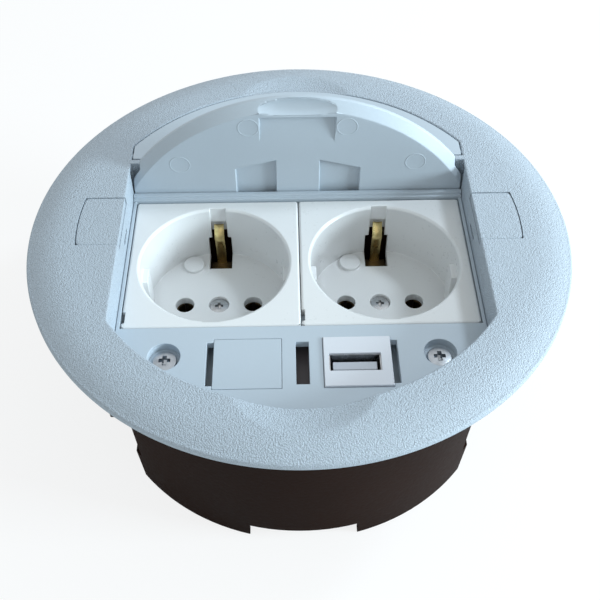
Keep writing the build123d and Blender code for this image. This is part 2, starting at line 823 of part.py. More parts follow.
def contact_places(mid_x):
    """Name, X and wire shift of the two pin contacts of a socket."""
    return (
        ("line", mid_x - pin_spacing / 2, line_shift),
        ("neutral", mid_x + pin_spacing / 2, neutral_shift),
    )


def socket_base_piece(name, side):
    """Base block under a recess, with room for contacts, earth bracket and screws."""
    mid_x = side * module_x
    with BuildPart() as base:
        with BuildSketch(Plane.XY.offset(base_low_z)):
            with Locations((mid_x, recess_y)):
                body = Rectangle(base_w, base_len)
            chamfer(body.vertices(), base_corner)
        extrude(amount=base_h)
        block(
            mid_x - bracket_channel_w / 2, mid_x + bracket_channel_w / 2,
            recess_y - base_len / 2, recess_y + base_len / 2,
            base_top_z - bracket_channel_h, base_top_z, mode=Mode.SUBTRACT,
        )
        upright(
            mid_x, recess_y, recess_floor_z - centre_head_t - head_gap - centre_screw_len - touch,
            base_top_z, centre_shank_r + head_gap, mode=Mode.SUBTRACT,
        )
        half_w = terminal_w / 2 + contact_gap
        for _, pin_x, shift in contact_places(mid_x):
            hand = math.copysign(1, shift)
            outer_y = recess_y + shift + hand * (terminal_half_len + contact_gap)
            upright(
                pin_x, recess_y, base_low_z, base_top_z, sleeve_r + contact_gap,
                mode=Mode.SUBTRACT,
            )
            block(
                pin_x - half_w, pin_x + half_w, recess_y, outer_y,
                base_low_z, terminal_top_z + contact_gap, mode=Mode.SUBTRACT,
            )
            bar_along_y(
                pin_x, outer_y - hand, recess_y + hand * base_len / 2, terminal_mid_z,
                terminal_access_r, mode=Mode.SUBTRACT,
            )
        earth_y = recess_y + earth_shift
        block(
            mid_x - half_w, mid_x + half_w,
            earth_y - terminal_half_len - contact_gap, earth_y + terminal_half_len + contact_gap,
            base_low_z, terminal_top_z + contact_gap, mode=Mode.SUBTRACT,
        )
        leg_y = earth_y - terminal_half_len + bracket_t / 2
        block(
            mid_x - bracket_leg_w / 2 - contact_gap, mid_x + bracket_leg_w / 2 + contact_gap,
            leg_y - bracket_t / 2 - contact_gap, leg_y + bracket_t / 2 + contact_gap,
            terminal_top_z, base_top_z, mode=Mode.SUBTRACT,
        )
        bar_along_y(
            mid_x, earth_y, recess_y + base_len / 2, terminal_mid_z,
            terminal_access_r, mode=Mode.SUBTRACT,
        )
    finish(base, name)


def terminal_block(x, y, half_len):
    """Terminal with its upright wire hole, in the open part."""
    block(
        x - terminal_w / 2, x + terminal_w / 2, y - half_len, y + half_len,
        terminal_low_z, terminal_top_z,
    )
    upright(
        x, y, terminal_low_z, terminal_low_z + wire_in + touch, wire_r + wire_gap,
        mode=Mode.SUBTRACT,
    )


def terminal_screw_hole(x, y, hand):
    """Screw hole from a terminal's outer face to its wire hole, cut from the open part."""
    bar_along_y(
        x, y, y + hand * terminal_half_len, terminal_mid_z, terminal_screw_r + head_gap / 2,
        mode=Mode.SUBTRACT,
    )


def contact_piece(name, pin_x, shift):
    """Slit sleeve that grips a plug pin, with its terminal at the foot."""
    hand = math.copysign(1, shift)
    terminal_y = recess_y + shift
    with BuildPart() as contact:
        upright(pin_x, recess_y, terminal_low_z, base_top_z - touch, sleeve_r)
        terminal_block(pin_x, terminal_y, terminal_half_len)
        block(
            pin_x - terminal_w / 2, pin_x + terminal_w / 2,
            recess_y, terminal_y - hand * (terminal_half_len - touch),
            terminal_low_z, terminal_top_z,
        )
        upright(
            pin_x, recess_y, terminal_top_z, base_top_z - touch, sleeve_bore_r,
            mode=Mode.SUBTRACT,
        )
        block(
            pin_x - sleeve_slit / 2, pin_x + sleeve_slit / 2,
            recess_y - sleeve_r - touch, recess_y + sleeve_r + touch,
            base_top_z - sleeve_slit_len, base_top_z, mode=Mode.SUBTRACT,
        )
        terminal_screw_hole(pin_x, terminal_y, hand)
    finish(contact, name)


def earth_bracket_piece(name, side):
    """Spring strap: across under the recess, up through its floor, with a clip at each end."""
    mid_x = side * module_x
    earth_y = recess_y + earth_shift
    arm_points = (
        (bracket_tip_r, face_z - bracket_tip),
        (bracket_bulge_r, face_z - bracket_bulge),
        (bracket_rise_r, face_z - bracket_waist),
        (bracket_rise_r, bracket_z),
    )
    front_arm = [(recess_y - radius, z) for radius, z in arm_points]
    rear_arm = [(recess_y + radius, z) for radius, z in reversed(arm_points)]
    with BuildPart() as bracket:
        with BuildSketch(Plane.YZ.offset(mid_x)):
            with BuildLine():
                FilletPolyline(*front_arm, *rear_arm, radius=bracket_bend_r)
            trace(line_width=bracket_t)
        extrude(amount=bracket_w / 2, both=True)
        for hand in sides.values():
            block(
                mid_x + hand * bracket_arm_w / 2, mid_x + hand * bracket_w,
                recess_y - 2 * recess_r, recess_y + 2 * recess_r,
                bracket_z + bracket_bend_r, face_z, mode=Mode.SUBTRACT,
            )
        leg_y = earth_y - terminal_half_len
        block(
            mid_x - bracket_leg_w / 2, mid_x + bracket_leg_w / 2, leg_y, leg_y + bracket_t,
            terminal_top_z - touch, bracket_z,
        )
        terminal_block(mid_x, earth_y, terminal_half_len)
        terminal_screw_hole(mid_x, earth_y, 1)
        upright(
            mid_x, recess_y, bracket_z - bracket_t, bracket_z + bracket_t,
            centre_shank_r + head_gap, mode=Mode.SUBTRACT,
        )
    finish(bracket, name)


def socket_screws(side_name, side):
    """Centre screw and the three terminal screws of one socket."""
    mid_x = side * module_x
    head_low_z = recess_floor_z - centre_head_t
    with BuildPart() as centre_screw:
        upright_screw(
            mid_x, recess_y, head_low_z, centre_head_r, centre_head_t, centre_shank_r,
            head_low_z - centre_screw_len,
        )
    finish(centre_screw, f"{side_name}_centre_screw")

    places = [(x, shift, math.copysign(1, shift)) for _, x, shift in contact_places(mid_x)]
    places.append((mid_x, earth_shift, 1))
    with BuildPart() as terminal_screws:
        for x, shift, hand in places:
            tip_y = recess_y + shift + hand * (wire_r + 2 * wire_gap)
            face_y = recess_y + shift + hand * (terminal_half_len + touch)
            bar_along_y(x, tip_y, face_y, terminal_mid_z, terminal_screw_r)
            head_y = face_y + hand * terminal_head_t
            bar_along_y(x, face_y, head_y, terminal_mid_z, terminal_head_r)
    finish(terminal_screws, f"{side_name}_terminal_screws")


def wire_piece(name, x_shift, y_shift):
    """Link wire between the like terminals of the two sockets, bent down under the bases."""
    left_x = -module_x + x_shift
    right_x = module_x + x_shift
    wire_y = recess_y + y_shift
    end_z = terminal_low_z + wire_in
    with BuildPart() as wire:
        with BuildLine(Plane.XZ.offset(-wire_y)) as route:
            Polyline(
                (left_x, end_z), (left_x, wire_lane_z + wire_bend),
                (left_x + wire_bend, wire_lane_z), (right_x - wire_bend, wire_lane_z),
                (right_x, wire_lane_z + wire_bend), (right_x, end_z),
            )
        with BuildSketch(Plane(route.line @ 0, z_dir=route.line % 0)):
            Circle(wire_r)
        sweep(transition=Transition.RIGHT)
    finish(wire, name)


def cup_piece():
    """The cup: leaning round wall, claw bays with windows, floor, foot and cable inlet."""
    bay_lean_per_z = bay_lean / bay_top_z
    bay_ceiling_z = bay_top_z + cup_wall
    bay_wall_y = bay_back_y + cup_wall
    with BuildPart() as cup:
        # Walls of the two claw bays: leaning blocks, kept inside the cup's outer cone
        for side in sides.values():
            with BuildSketch(Plane.XZ.offset(-bay_wall_y)):
                with BuildLine():
                    Polyline(
                        (side * (bay_foot_x - cup_wall), 0),
                        (side * (bay_foot_x - cup_wall + bay_lean_per_z * bay_ceiling_z), bay_ceiling_z),
                        (side * cup_top_r, bay_ceiling_z), (side * cup_top_r, 0), close=True,
                    )
                make_face()
            extrude(amount=bay_wall_y + cup_top_r)
        with BuildSketch(Plane.XZ):
            with BuildLine():
                Polyline(
                    (0, 0), (0, cup_top_z), (cup_top_r, cup_top_z), (cup_foot_r, 0), close=True
                )
            make_face()
        revolve(axis=Axis.Z, mode=Mode.INTERSECT)
        # Round wall and floor
        with BuildSketch(Plane.XZ):
            with BuildLine():
                Polyline(
                    (cup_foot_r - cup_wall, 0), (cup_top_r - cup_wall, cup_top_z),
                    (cup_top_r, cup_top_z), (cup_foot_r, 0), close=True,
                )
            make_face()
        revolve(axis=Axis.Z)
        upright(0, 0, cup_floor_z, cup_floor_top_z, cup_foot_r - cup_wall / 2)
        for side in sides.values():
            with BuildSketch(Plane.XZ.offset(-bay_back_y)):
                with BuildLine():
                    Polyline(
                        (side * bay_foot_x, 0), (side * (bay_foot_x + bay_lean), bay_top_z),
                        (side * ring_r, bay_top_z), (side * ring_r, 0), close=True,
                    )
                make_face()
            extrude(amount=bay_back_y + ring_r, mode=Mode.SUBTRACT)
        block(
            -foot_notch_w / 2, foot_notch_w / 2, -cup_top_r, -cup_foot_r / 2,
            0, foot_notch_h, mode=Mode.SUBTRACT,
        )
        # Slot for the lid's pocket
        block(
            -pocket_half_w - touch, pocket_half_w + touch,
            pocket_front_y - touch, pocket_back_y + touch,
            cup_floor_z, cup_floor_top_z, mode=Mode.SUBTRACT,
        )
        for side in sides.values():
            cup_side(side)
        for angle in snap_bead_angles:
            with PolarLocations(cup_top_r, 1, angle):
                with Locations((0, 0, seat_z - snap_bead_drop)):
                    Box(4 * cup_wall, snap_window_w, snap_window_h, mode=Mode.SUBTRACT)
        upright(
            0, inlet_y, cup_floor_z, cup_floor_top_z, grommet_neck_r + touch,
            mode=Mode.SUBTRACT,
        )
    finish(cup, "cup")


def cup_side(side):
    """Screw boss, clamp screw bearing and claw window on one side, in the open part."""
    lug_y = pocket_back_y + pocket_lug_len / 2
    upright(
        side * pocket_lug_x, lug_y, cup_floor_z - pocket_boss_h, cup_floor_z + touch,
        pocket_boss_r,
    )
    upright(
        side * pocket_lug_x, lug_y, cup_floor_top_z - pocket_screw_in - touch,
        cup_floor_top_z, pocket_screw_r + head_gap / 2, mode=Mode.SUBTRACT,
    )
    upright(
        side * clamp_x, clamp_y, cup_floor_top_z - touch, cup_floor_top_z + clamp_foot_h,
        clamp_foot_r,
    )
    upright(
        side * clamp_x, clamp_y, cup_floor_top_z, cup_floor_top_z + clamp_foot_h,
        clamp_screw_r + run_fit, mode=Mode.SUBTRACT,
    )
    block(
        side * (clamp_x + claw_root_r), side * cup_top_r,
        window_front_y, window_back_y, window_low_z, bay_top_z, mode=Mode.SUBTRACT,
    )


def grommet_piece():
    """Soft ring in the floor that the cable would come in through."""
    with BuildPart() as grommet:
        upright(
            0, inlet_y, cup_floor_z - touch - grommet_lip, cup_floor_z - touch, grommet_r,
        )
        upright(
            0, inlet_y, cup_floor_z - touch, cup_floor_top_z + touch, grommet_neck_r,
        )
        upright(
            0, inlet_y, cup_floor_top_z + touch, cup_floor_top_z + touch + grommet_lip,
            grommet_r,
        )
        lip_edges = grommet.edges().filter_by(GeomType.CIRCLE).group_by(SortBy.RADIUS)[-1]
        chamfer(lip_edges, grommet_lip / 3)
        upright(
            0, inlet_y, cup_floor_z - touch - grommet_lip,
            cup_floor_top_z + touch + grommet_lip, inlet_bore_r, mode=Mode.SUBTRACT,
        )
    finish(grommet, "cable_grommet")


def lid_pocket_piece():
    """Flat sleeve that the lid slides down into, with two screw lugs behind."""
    with BuildPart() as pocket:
        block(
            -pocket_half_w, pocket_half_w, pocket_front_y, pocket_back_y,
            pocket_low_z, pocket_top_z,
        )
        block(
            -opening_half_w, opening_half_w, slot_front_y, slot_back_y,
            pocket_floor_z, pocket_top_z, mode=Mode.SUBTRACT,
        )
        groove_half = lid_pivot_r + lid_groove_gap
        for side in sides.values():
            block(
                side * opening_half_w, side * groove_reach,
                lid_mid_y - groove_half, lid_mid_y + groove_half,
                lid_pivot_z - groove_half, pocket_top_z, mode=Mode.SUBTRACT,
            )
            block(
                side * (pocket_lug_x - pocket_lug_w / 2), side * (pocket_lug_x + pocket_lug_w / 2),
                pocket_back_y - touch, pocket_back_y + pocket_lug_len,
                cup_floor_top_z + touch, cup_floor_top_z + touch + pocket_lug_t,
            )
            upright(
                side * pocket_lug_x, pocket_back_y + pocket_lug_len / 2,
                cup_floor_top_z + touch, cup_floor_top_z + touch + pocket_lug_t,
                pocket_screw_r + head_gap, mode=Mode.SUBTRACT,
            )
    finish(pocket, "lid_pocket")

    with BuildPart() as pocket_screws:
        for side in sides.values():
            upright_screw(
                side * pocket_lug_x, pocket_back_y + pocket_lug_len / 2,
                cup_floor_top_z + 2 * touch + pocket_lug_t, pocket_head_r, pocket_head_t,
                pocket_screw_r, cup_floor_top_z - pocket_screw_in,
            )
    finish(pocket_screws, "pocket_screws")


def clamp_pieces(side_name, side, arm_angle):
    """Clamp screw, its nut, and the claw on the nut, with the arm at an angle."""
    screw_x = side * clamp_x
    with BuildPart() as screw:
        upright_screw(
            screw_x, clamp_y, clamp_seat_z + touch, clamp_head_r, clamp_head_t, clamp_screw_r,
            cup_floor_top_z + clamp_foot_h - clamp_tip_in,
        )
    finish(screw, f"{side_name}_clamp_screw")

    claw_top_z = claw_low_z + claw_t
    with BuildPart() as nut:
        upright(
            screw_x, clamp_y, claw_low_z - touch - nut_flange_t, claw_low_z - touch,
            nut_flange_r,
        )
        upright(screw_x, clamp_y, claw_low_z - touch, claw_top_z, nut_r)
        upright(
            screw_x, clamp_y, claw_low_z - touch - nut_flange_t, claw_top_z,
            clamp_screw_r + run_fit, mode=Mode.SUBTRACT,
        )
    finish(nut, f"{side_name}_clamp_nut")

    turned = Plane((screw_x, clamp_y, claw_low_z)).rotated((0, 0, arm_angle))
    with BuildPart() as claw:
        with BuildSketch(turned):
            Circle(claw_root_r)
            with Locations((claw_reach / 2, 0)):
                Rectangle(claw_reach, 2 * claw_half_w)
            Circle(nut_r + run_fit, mode=Mode.SUBTRACT)
        extrude(amount=claw_t - claw_tooth)
        # Three teeth across the arm's end that bite the desk from below
        tooth_w = 2 * claw_tooth
        with BuildSketch(turned.offset(claw_t - claw_tooth)):
            for index in range(claw_teeth):
                with Locations((claw_reach - index * claw_tooth_pitch - tooth_w / 2, 0)):
                    Rectangle(tooth_w, 2 * claw_half_w)
        extrude(amount=claw_tooth, taper=claw_tooth_lean)
    finish(claw, f"{side_name}_clamp_claw")


os.makedirs("parts", exist_ok=True)
trim_ring_piece()
lid_piece()
rear_flap_piece()
insert_panel_piece()
blank_insert_piece()
usb_pieces()
cup_piece()
grommet_piece()
lid_pocket_piece()
for side_name, side_sign in sides.items():
    port_cover_piece(f"{side_name}_port_cover", side_sign)
    socket_housing_piece(f"{side_name}_socket_housing", side_sign)
    socket_base_piece(f"{side_name}_socket_base", side_sign)
    for pole, pole_x, pole_shift in contact_places(side_sign * module_x):
        contact_piece(f"{side_name}_{pole}_contact", pole_x, pole_shift)
    earth_bracket_piece(f"{side_name}_earth_bracket", side_sign)
    socket_screws(side_name, side_sign)
# The left claw is swung out, the right one is swung in
clamp_pieces("left", -1, 180)
clamp_pieces("right", 1, claw_swing)
wire_piece("line_wire", -pin_spacing / 2, line_shift)
wire_piece("neutral_wire", pin_spacing / 2, neutral_shift)
wire_piece("earth_wire", 0, earth_shift)
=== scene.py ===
"""Finished look of a recessed desk socket block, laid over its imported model.

Shapes are worked out in millimetres in the model's own axes: +Z up along the ring's axis, +X to the
right of someone at the desk, +Y away from them. They become metres when a mesh is made. A piece
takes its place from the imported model's nodes, and rides on the body that its node belongs to.
"""

import json
import logging
import math
from collections.abc import Sequence
from dataclasses import dataclass, field
from enum import Enum

import bmesh
import bpy
import numpy as np
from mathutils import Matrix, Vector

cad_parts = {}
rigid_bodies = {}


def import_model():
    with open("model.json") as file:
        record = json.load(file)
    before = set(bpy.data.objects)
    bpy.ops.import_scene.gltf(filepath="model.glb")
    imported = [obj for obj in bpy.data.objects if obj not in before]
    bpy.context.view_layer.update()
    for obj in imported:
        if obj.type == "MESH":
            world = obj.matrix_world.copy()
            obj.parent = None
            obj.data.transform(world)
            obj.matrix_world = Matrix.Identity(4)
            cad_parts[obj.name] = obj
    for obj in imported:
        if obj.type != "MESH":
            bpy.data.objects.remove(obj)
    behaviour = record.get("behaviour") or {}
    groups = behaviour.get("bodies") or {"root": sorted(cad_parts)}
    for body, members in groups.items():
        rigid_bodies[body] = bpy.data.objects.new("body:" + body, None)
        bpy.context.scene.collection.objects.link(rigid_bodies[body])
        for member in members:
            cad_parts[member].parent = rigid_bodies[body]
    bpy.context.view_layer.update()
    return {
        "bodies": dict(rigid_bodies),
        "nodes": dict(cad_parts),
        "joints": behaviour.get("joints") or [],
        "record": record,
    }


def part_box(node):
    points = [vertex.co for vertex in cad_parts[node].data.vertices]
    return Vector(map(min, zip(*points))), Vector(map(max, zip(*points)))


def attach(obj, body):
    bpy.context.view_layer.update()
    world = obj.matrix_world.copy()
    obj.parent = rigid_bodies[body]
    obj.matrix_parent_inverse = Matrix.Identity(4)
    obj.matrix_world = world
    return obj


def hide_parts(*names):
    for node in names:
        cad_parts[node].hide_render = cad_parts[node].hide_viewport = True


LOG = logging.getLogger("desk_socket_block")
MM = 0.001
WELD = 1e-6  # metres; points nearer than this are one point
CREASE = math.radians(32)  # faces that turn by less than this shade as one, others meet in an edge
BEVEL_SEGMENTS = 3
FLAT_WEIGHT = 90  # how much large faces keep their own normal beside a rounded edge
PAST = 1.0  # how far a cutting block goes past what it cuts, mm
TINY = 1e-9  # keeps a division away from zero
MIX_COLOURS = (6, 7)  # numbers of the Mix node's two colour inputs
MIX_RESULT = 2  # number of its colour output

Pair = tuple[float, float]
Triple = tuple[float, float, float]
Colour = Triple


class Side(Enum):
    """The two like halves of the block, by name, with the sign of their X."""

    LEFT = ("left", -1)
    RIGHT = ("right", 1)

    @property
    def word(self) -> str:
        """Name that this side's nodes start with."""
        return self.value[0]

    @property
    def sign(self) -> int:
        """Sign of this side's X."""
        return self.value[1]


class Edge(Enum):
    """How much a moulded or cut edge is rounded, in millimetres."""

    CRISP = 0.06
    FINE = 0.12
    MOULDED = 0.22


class Step(Enum):
    """What a surface does to the piece that it is laid on."""

    CUT = "DIFFERENCE"
    ADD = "UNION"


def linear(red: int, green: int, blue: int) -> Colour:
    """Linear light of a colour as it is seen, by the sRGB curve.

    Args:
        red, green, blue: The seen colour, 0 to 255.

    Returns:
        The colour in linear light, 0 to 1.
    """
    seen = np.array((red, green, blue)) / 255
    light = np.where(seen <= 0.04045, seen / 12.92, ((seen + 0.055) / 1.055) ** 2.4)
    return tuple(light.tolist())


def shade(colour: Colour, factor: float) -> Colour:
    """A colour made lighter, at most white, or darker by a factor."""
    return tuple(min(1.0, channel * factor) for channel in colour)


class Signal:
    """One number that varies over a surface, with arithmetic that adds Math nodes."""

    def __init__(self, graph: "Graph", socket: bpy.types.NodeSocket) -> None:
        """Wraps an output socket of a graph."""
        self.graph = graph
        self.socket = socket

    def maths(self, operation: str, *values: "Signal | float") -> "Signal":
        """Result of a Math node.

        Args:
            operation: The Math node's operation.
            values: Its inputs in order, signals or numbers.

        Returns:
            The node's output.
        """
        node = self.graph.add("ShaderNodeMath", {"operation": operation}, dict(enumerate(values)))
        return Signal(self.graph, node.outputs[0])

    def __add__(self, other: "Signal | float") -> "Signal":
        """Sum."""
        return self.maths("ADD", self, other)

    __radd__ = __add__

    def __sub__(self, other: "Signal | float") -> "Signal":
        """Difference."""
        return self.maths("SUBTRACT", self, other)

    def __rsub__(self, other: float) -> "Signal":
        """Difference from a number."""
        return self.maths("SUBTRACT", other, self)

    def __mul__(self, other: "Signal | float") -> "Signal":
        """Product."""
        return self.maths("MULTIPLY", self, other)

    __rmul__ = __mul__

    def maximum(self, other: "Signal | float") -> "Signal":
        """Larger of the two."""
        return self.maths("MAXIMUM", self, other)

    def swing(self, width: float) -> "Signal":
        """How far the signal is above a half, times a width: about zero on average for a noise."""
        return (self - 0.5) * width

    def above(self, edge: float, width: float) -> "Signal":
        """Mask of where the signal is above an edge.

        Args:
            edge: The value at which the mask is a half.
            width: How wide the change from 0 to 1 is.

        Returns:
            0 below the edge and 1 above it, clamped.
        """
        scaled = (self - (edge - width / 2)) * (1 / width)
        return self.maths("MINIMUM", scaled.maximum(0.0), 1.0)


class Graph:
    """Nodes of one material or world, added by type, settings and inputs."""

    def __init__(self, tree: bpy.types.NodeTree) -> None:
        """Starts with an empty tree."""
        self.tree = tree
        self.tree.nodes.clear()

    def add(self, kind: str, settings: dict | None = None, inputs: dict | None = None) -> bpy.types.Node:
        """Adds one node.

        Args:
            kind: The node's type.
            settings: Its settings by name.
            inputs: Values, sockets or signals, by the name or number of the input.

        Returns:
            The node.
        """
        node = self.tree.nodes.new(kind)
        for key, value in (settings or {}).items():
            setattr(node, key, value)
        for key, value in (inputs or {}).items():
            self.feed(node.inputs[key], value)
        return node

    def feed(self, socket: bpy.types.NodeSocket, value: object) -> None:
        """Links a socket, or sets its value.

        Args:
            socket: The input.
            value: A signal, an output socket, or a plain value.
        """
        if isinstance(value, Signal):
            value = value.socket
        if isinstance(value, bpy.types.NodeSocket):
            self.tree.links.new(value, socket)
        else:
            socket.default_value = value

    def place(self, stretch: Triple = (1.0, 1.0, 1.0)) -> bpy.types.NodeSocket:
        """Object coordinates, stretched.

        Args:
            stretch: Factor along each axis.

        Returns:
            The coordinates' socket.
        """
        coordinates = self.add("ShaderNodeTexCoord").outputs["Object"]
        inputs = {"Vector": coordinates, "Scale": stretch}
        return self.add("ShaderNodeMapping", {}, inputs).outputs[0]

    def noise(self, place: bpy.types.NodeSocket, size: float, detail: float = 2.0) -> Signal:
        """Cloudy noise.

        Args:
            place: The coordinates it reads.
            size: Width of its clouds, in millimetres.
            detail: How many finer layers it has.

        Returns:
            The noise, about 0 to 1.
        """
        settings = {"noise_dimensions": "3D"}
        inputs = {"Vector": place, "Scale": 1 / (size * MM), "Detail": detail, "Roughness": 0.55}
        return Signal(self, self.add("ShaderNodeTexNoise", settings, inputs).outputs[0])

    def pebbles(self, place: bpy.types.NodeSocket, size: float) -> Signal:
        """Rounded cells, high in their middles.

        Args:
            place: The coordinates it reads.
            size: Width of a cell, in millimetres.

        Returns:
            Height, about 0 to 1.
        """
        settings = {"voronoi_dimensions": "3D", "feature": "SMOOTH_F1"}
        inputs = {"Vector": place, "Scale": 1 / (size * MM), "Smoothness": 0.6}
        return 1 - Signal(self, self.add("ShaderNodeTexVoronoi", settings, inputs).outputs["Distance"])

    def blend(
        self, mask: Signal, first: Colour | bpy.types.NodeSocket, second: Colour | bpy.types.NodeSocket
    ) -> bpy.types.NodeSocket:
        """Colour between two colours.

        Args:
            mask: 0 for the first colour, 1 for the second.
            first, second: The colours, or sockets that carry them.

        Returns:
            The colour's socket.
        """
        colours = [(*c, 1.0) if isinstance(c, tuple) else c for c in (first, second)]
        inputs = {0: mask, **dict(zip(MIX_COLOURS, colours))}
        return self.add("ShaderNodeMix", {"data_type": "RGBA"}, inputs).outputs[MIX_RESULT]

    def bump(self, height: Signal, depth: float) -> bpy.types.NodeSocket:
        """Normal of a surface with a relief.

        Args:
            height: The relief, about 0 to 1.
            depth: How high 1 stands, in millimetres.

        Returns:
            The normal's socket.
        """
        inputs = {"Strength": 1.0, "Distance": depth * MM, "Height": height}
        return self.add("ShaderNodeBump", {}, inputs).outputs[0]


@dataclass(frozen=True)
class Finish:
    """A finish of one principled shader. Each kind of finish gives the shader's inputs."""

    name: str
    colour: Colour

    def inputs(self, graph: Graph) -> dict:
        """The shader's inputs by name, with their nodes added to the graph."""
        raise NotImplementedError

    def material(self) -> bpy.types.Material:
        """Makes the material.

        Returns:
            The material, with the nodes of this finish.
        """
        material = bpy.data.materials.new(self.name)
        material.use_nodes = True
        graph = Graph(material.node_tree)
        shader = graph.add("ShaderNodeBsdfPrincipled", {}, self.inputs(graph))
        graph.add("ShaderNodeOutputMaterial", {}, {"Surface": shader.outputs[0]})
        return material


@dataclass(frozen=True)
class Moulded(Finish):
    """Moulded plastic or rubber: slow mottling, a cloudy or pebbled grain, a satin or glossy skin."""

    roughness: float
    grain_size: float  # width of a cloud of the grain, mm
    grain_height: float  # mm
    grain_shade: float  # painted shade: how much darker the grain's hollows are coloured
    mottle: float = 0.02  # slow change of lightness
    coat: float = 0.0
    ior: float = 1.47
    pebbled: float = 0.0  # share of pebbles in the grain, the rest is cloudy
    pebble_width: float = 1.5  # over that of a cloud
    mottle_size: float = 28.0  # mm
    grain_gloss: float = 0.12  # how much the roughness changes with the grain
    mottle_gloss: float = 0.06  # and with the mottling
    coat_roughness: float = 0.12
    tone_reach: float = 0.5  # by what share the darkest and lightest tone differ from the colour

    def inputs(self, graph: Graph) -> dict:
        """Shader inputs.

        The tone is a half, plus small swings with the mottling and the grain; the grain's swing is painted
        shade in its hollows. It blends between the colour times 1 - tone_reach, at tone 0, and times 1 +
        tone_reach, at tone 1.

        Args:
            graph: The graph that the nodes go into.

        Returns:
            Inputs of the principled shader by name.
        """
        place = graph.place()
        grain = graph.noise(place, self.grain_size)
        if self.pebbled:
            pebbles = graph.pebbles(place, self.grain_size * self.pebble_width)
            grain = grain * (1 - self.pebbled) + pebbles * self.pebbled
        clouds = graph.noise(place, self.mottle_size, detail=3.0)
        # the grain's swing in tone is painted shade: its hollows are coloured darker
        tone = 0.5 + clouds.swing(2 * self.mottle) + grain.swing(2 * self.grain_shade)
        darkest = shade(self.colour, 1 - self.tone_reach)
        lightest = shade(self.colour, 1 + self.tone_reach)
        return {
            "Base Color": graph.blend(tone, darkest, lightest),
            "Roughness": self.roughness + grain.swing(self.grain_gloss) + clouds.swing(self.mottle_gloss),
            "Normal": graph.bump(grain, self.grain_height),
            "IOR": self.ior,
            "Coat Weight": self.coat,
            "Coat Roughness": self.coat_roughness,
        }


@dataclass(frozen=True)
class Metal(Finish):
    """Plated or plain metal: fine drawn lines, faint cloudy tarnish."""

    tarnish: Colour
    roughness: float
    lines: Triple = (1.0, 1.0, 0.12)  # stretch of the drawn lines' noise along each axis
    line_size: float = 0.25  # mm
    line_height: float = 0.004  # mm
    line_gloss: float = 0.14  # how much the roughness changes with the lines
    cloud_size: float = 2.6  # mm
    cloud_gloss: float = 0.16
    tarnish_edge: float = 0.56  # where the clouds are above this, the metal is tarnished
    tarnish_blur: float = 0.3
    tarnish_share: float = 0.7

    def inputs(self, graph: Graph) -> dict:
        """Shader inputs.

        Args:
            graph: The graph that the nodes go into.

        Returns:
            Inputs of the principled shader by name.
        """
        drawn = graph.noise(graph.place(self.lines), self.line_size)
        clouds = graph.noise(graph.place(), self.cloud_size, detail=4.0)
        tarnished = clouds.above(self.tarnish_edge, self.tarnish_blur) * self.tarnish_share
        return {
            "Base Color": graph.blend(tarnished, self.colour, self.tarnish),
            "Metallic": 1.0,
            "Roughness": self.roughness + drawn.swing(self.line_gloss) + clouds.swing(self.cloud_gloss),
            "Normal": graph.bump(drawn, self.line_height),
        }


@dataclass(frozen=True)
class Lacquered(Finish):
    """Circuit board: green lacquer over copper tracks that show as lighter lines."""

    track: Colour
    roughness: float = 0.34
    track_scale: float = 160.0  # of the wave texture, a track each 2 mm
    track_bend: float = 1.5
    track_edge: float = 0.7  # where the wave is above this, there is a track
    track_blur: float = 0.12
    track_share: float = 0.8
    track_height: float = 0.03  # mm
    cloud_size: float = 3.0  # mm
    cloud_share: float = 0.15
    cloud_gloss: float = 0.1
    coat: float = 0.4
    coat_roughness: float = 0.15

    def inputs(self, graph: Graph) -> dict:
        """Shader inputs.

        Args:
            graph: The graph that the nodes go into.

        Returns:
            Inputs of the principled shader by name.
        """
        place = graph.place()
        settings = {"wave_type": "BANDS", "bands_direction": "X"}
        wave = {"Vector": place, "Scale": self.track_scale, "Distortion": self.track_bend}
        bands = Signal(graph, graph.add("ShaderNodeTexWave", settings, wave).outputs["Fac"])
        tracks = bands.above(self.track_edge, self.track_blur)
        clouds = graph.noise(place, self.cloud_size, detail=3.0)
        mask = tracks * self.track_share + clouds * self.cloud_share
        return {
            "Base Color": graph.blend(mask, self.colour, self.track),
            "Roughness": self.roughness + clouds.swing(self.cloud_gloss),
            "Normal": graph.bump(tracks, self.track_height),
            "Coat Weight": self.coat,
            "Coat Roughness": self.coat_roughness,
        }


@dataclass(frozen=True)
class Insulation(Finish):
    """Wire insulation in one colour, or in two that run along the wire as stripes."""

    stripe: Colour
    roughness: float = 0.38
    stripe_edge: float = 0.5  # place round the wire, 0 to 1, where the stripe starts
    stripe_blur: float = 0.02
    grime: Colour = (0.02, 0.02, 0.02)
    grime_share: float = 0.12
    cloud_size: float = 1.1  # mm
    cloud_gloss: float = 0.14
    cloud_height: float = 0.01  # mm

    def inputs(self, graph: Graph) -> dict:
        """Shader inputs.

        Args:
            graph: The graph that the nodes go into.

        Returns:
            Inputs of the principled shader by name.
        """
        around = graph.add("ShaderNodeUVMap").outputs[0]
        around = Signal(graph, graph.add("ShaderNodeSeparateXYZ", {}, {0: around}).outputs[0])
        stripe = around.above(self.stripe_edge, self.stripe_blur)
        clouds = graph.noise(graph.place(), self.cloud_size, detail=3.0)
        striped = graph.blend(stripe, self.colour, self.stripe)
        return {
            "Base Color": graph.blend(clouds * self.grime_share, striped, self.grime),
            "Roughness": self.roughness + clouds.swing(self.cloud_gloss),
            "Normal": graph.bump(clouds, self.cloud_height),
        }


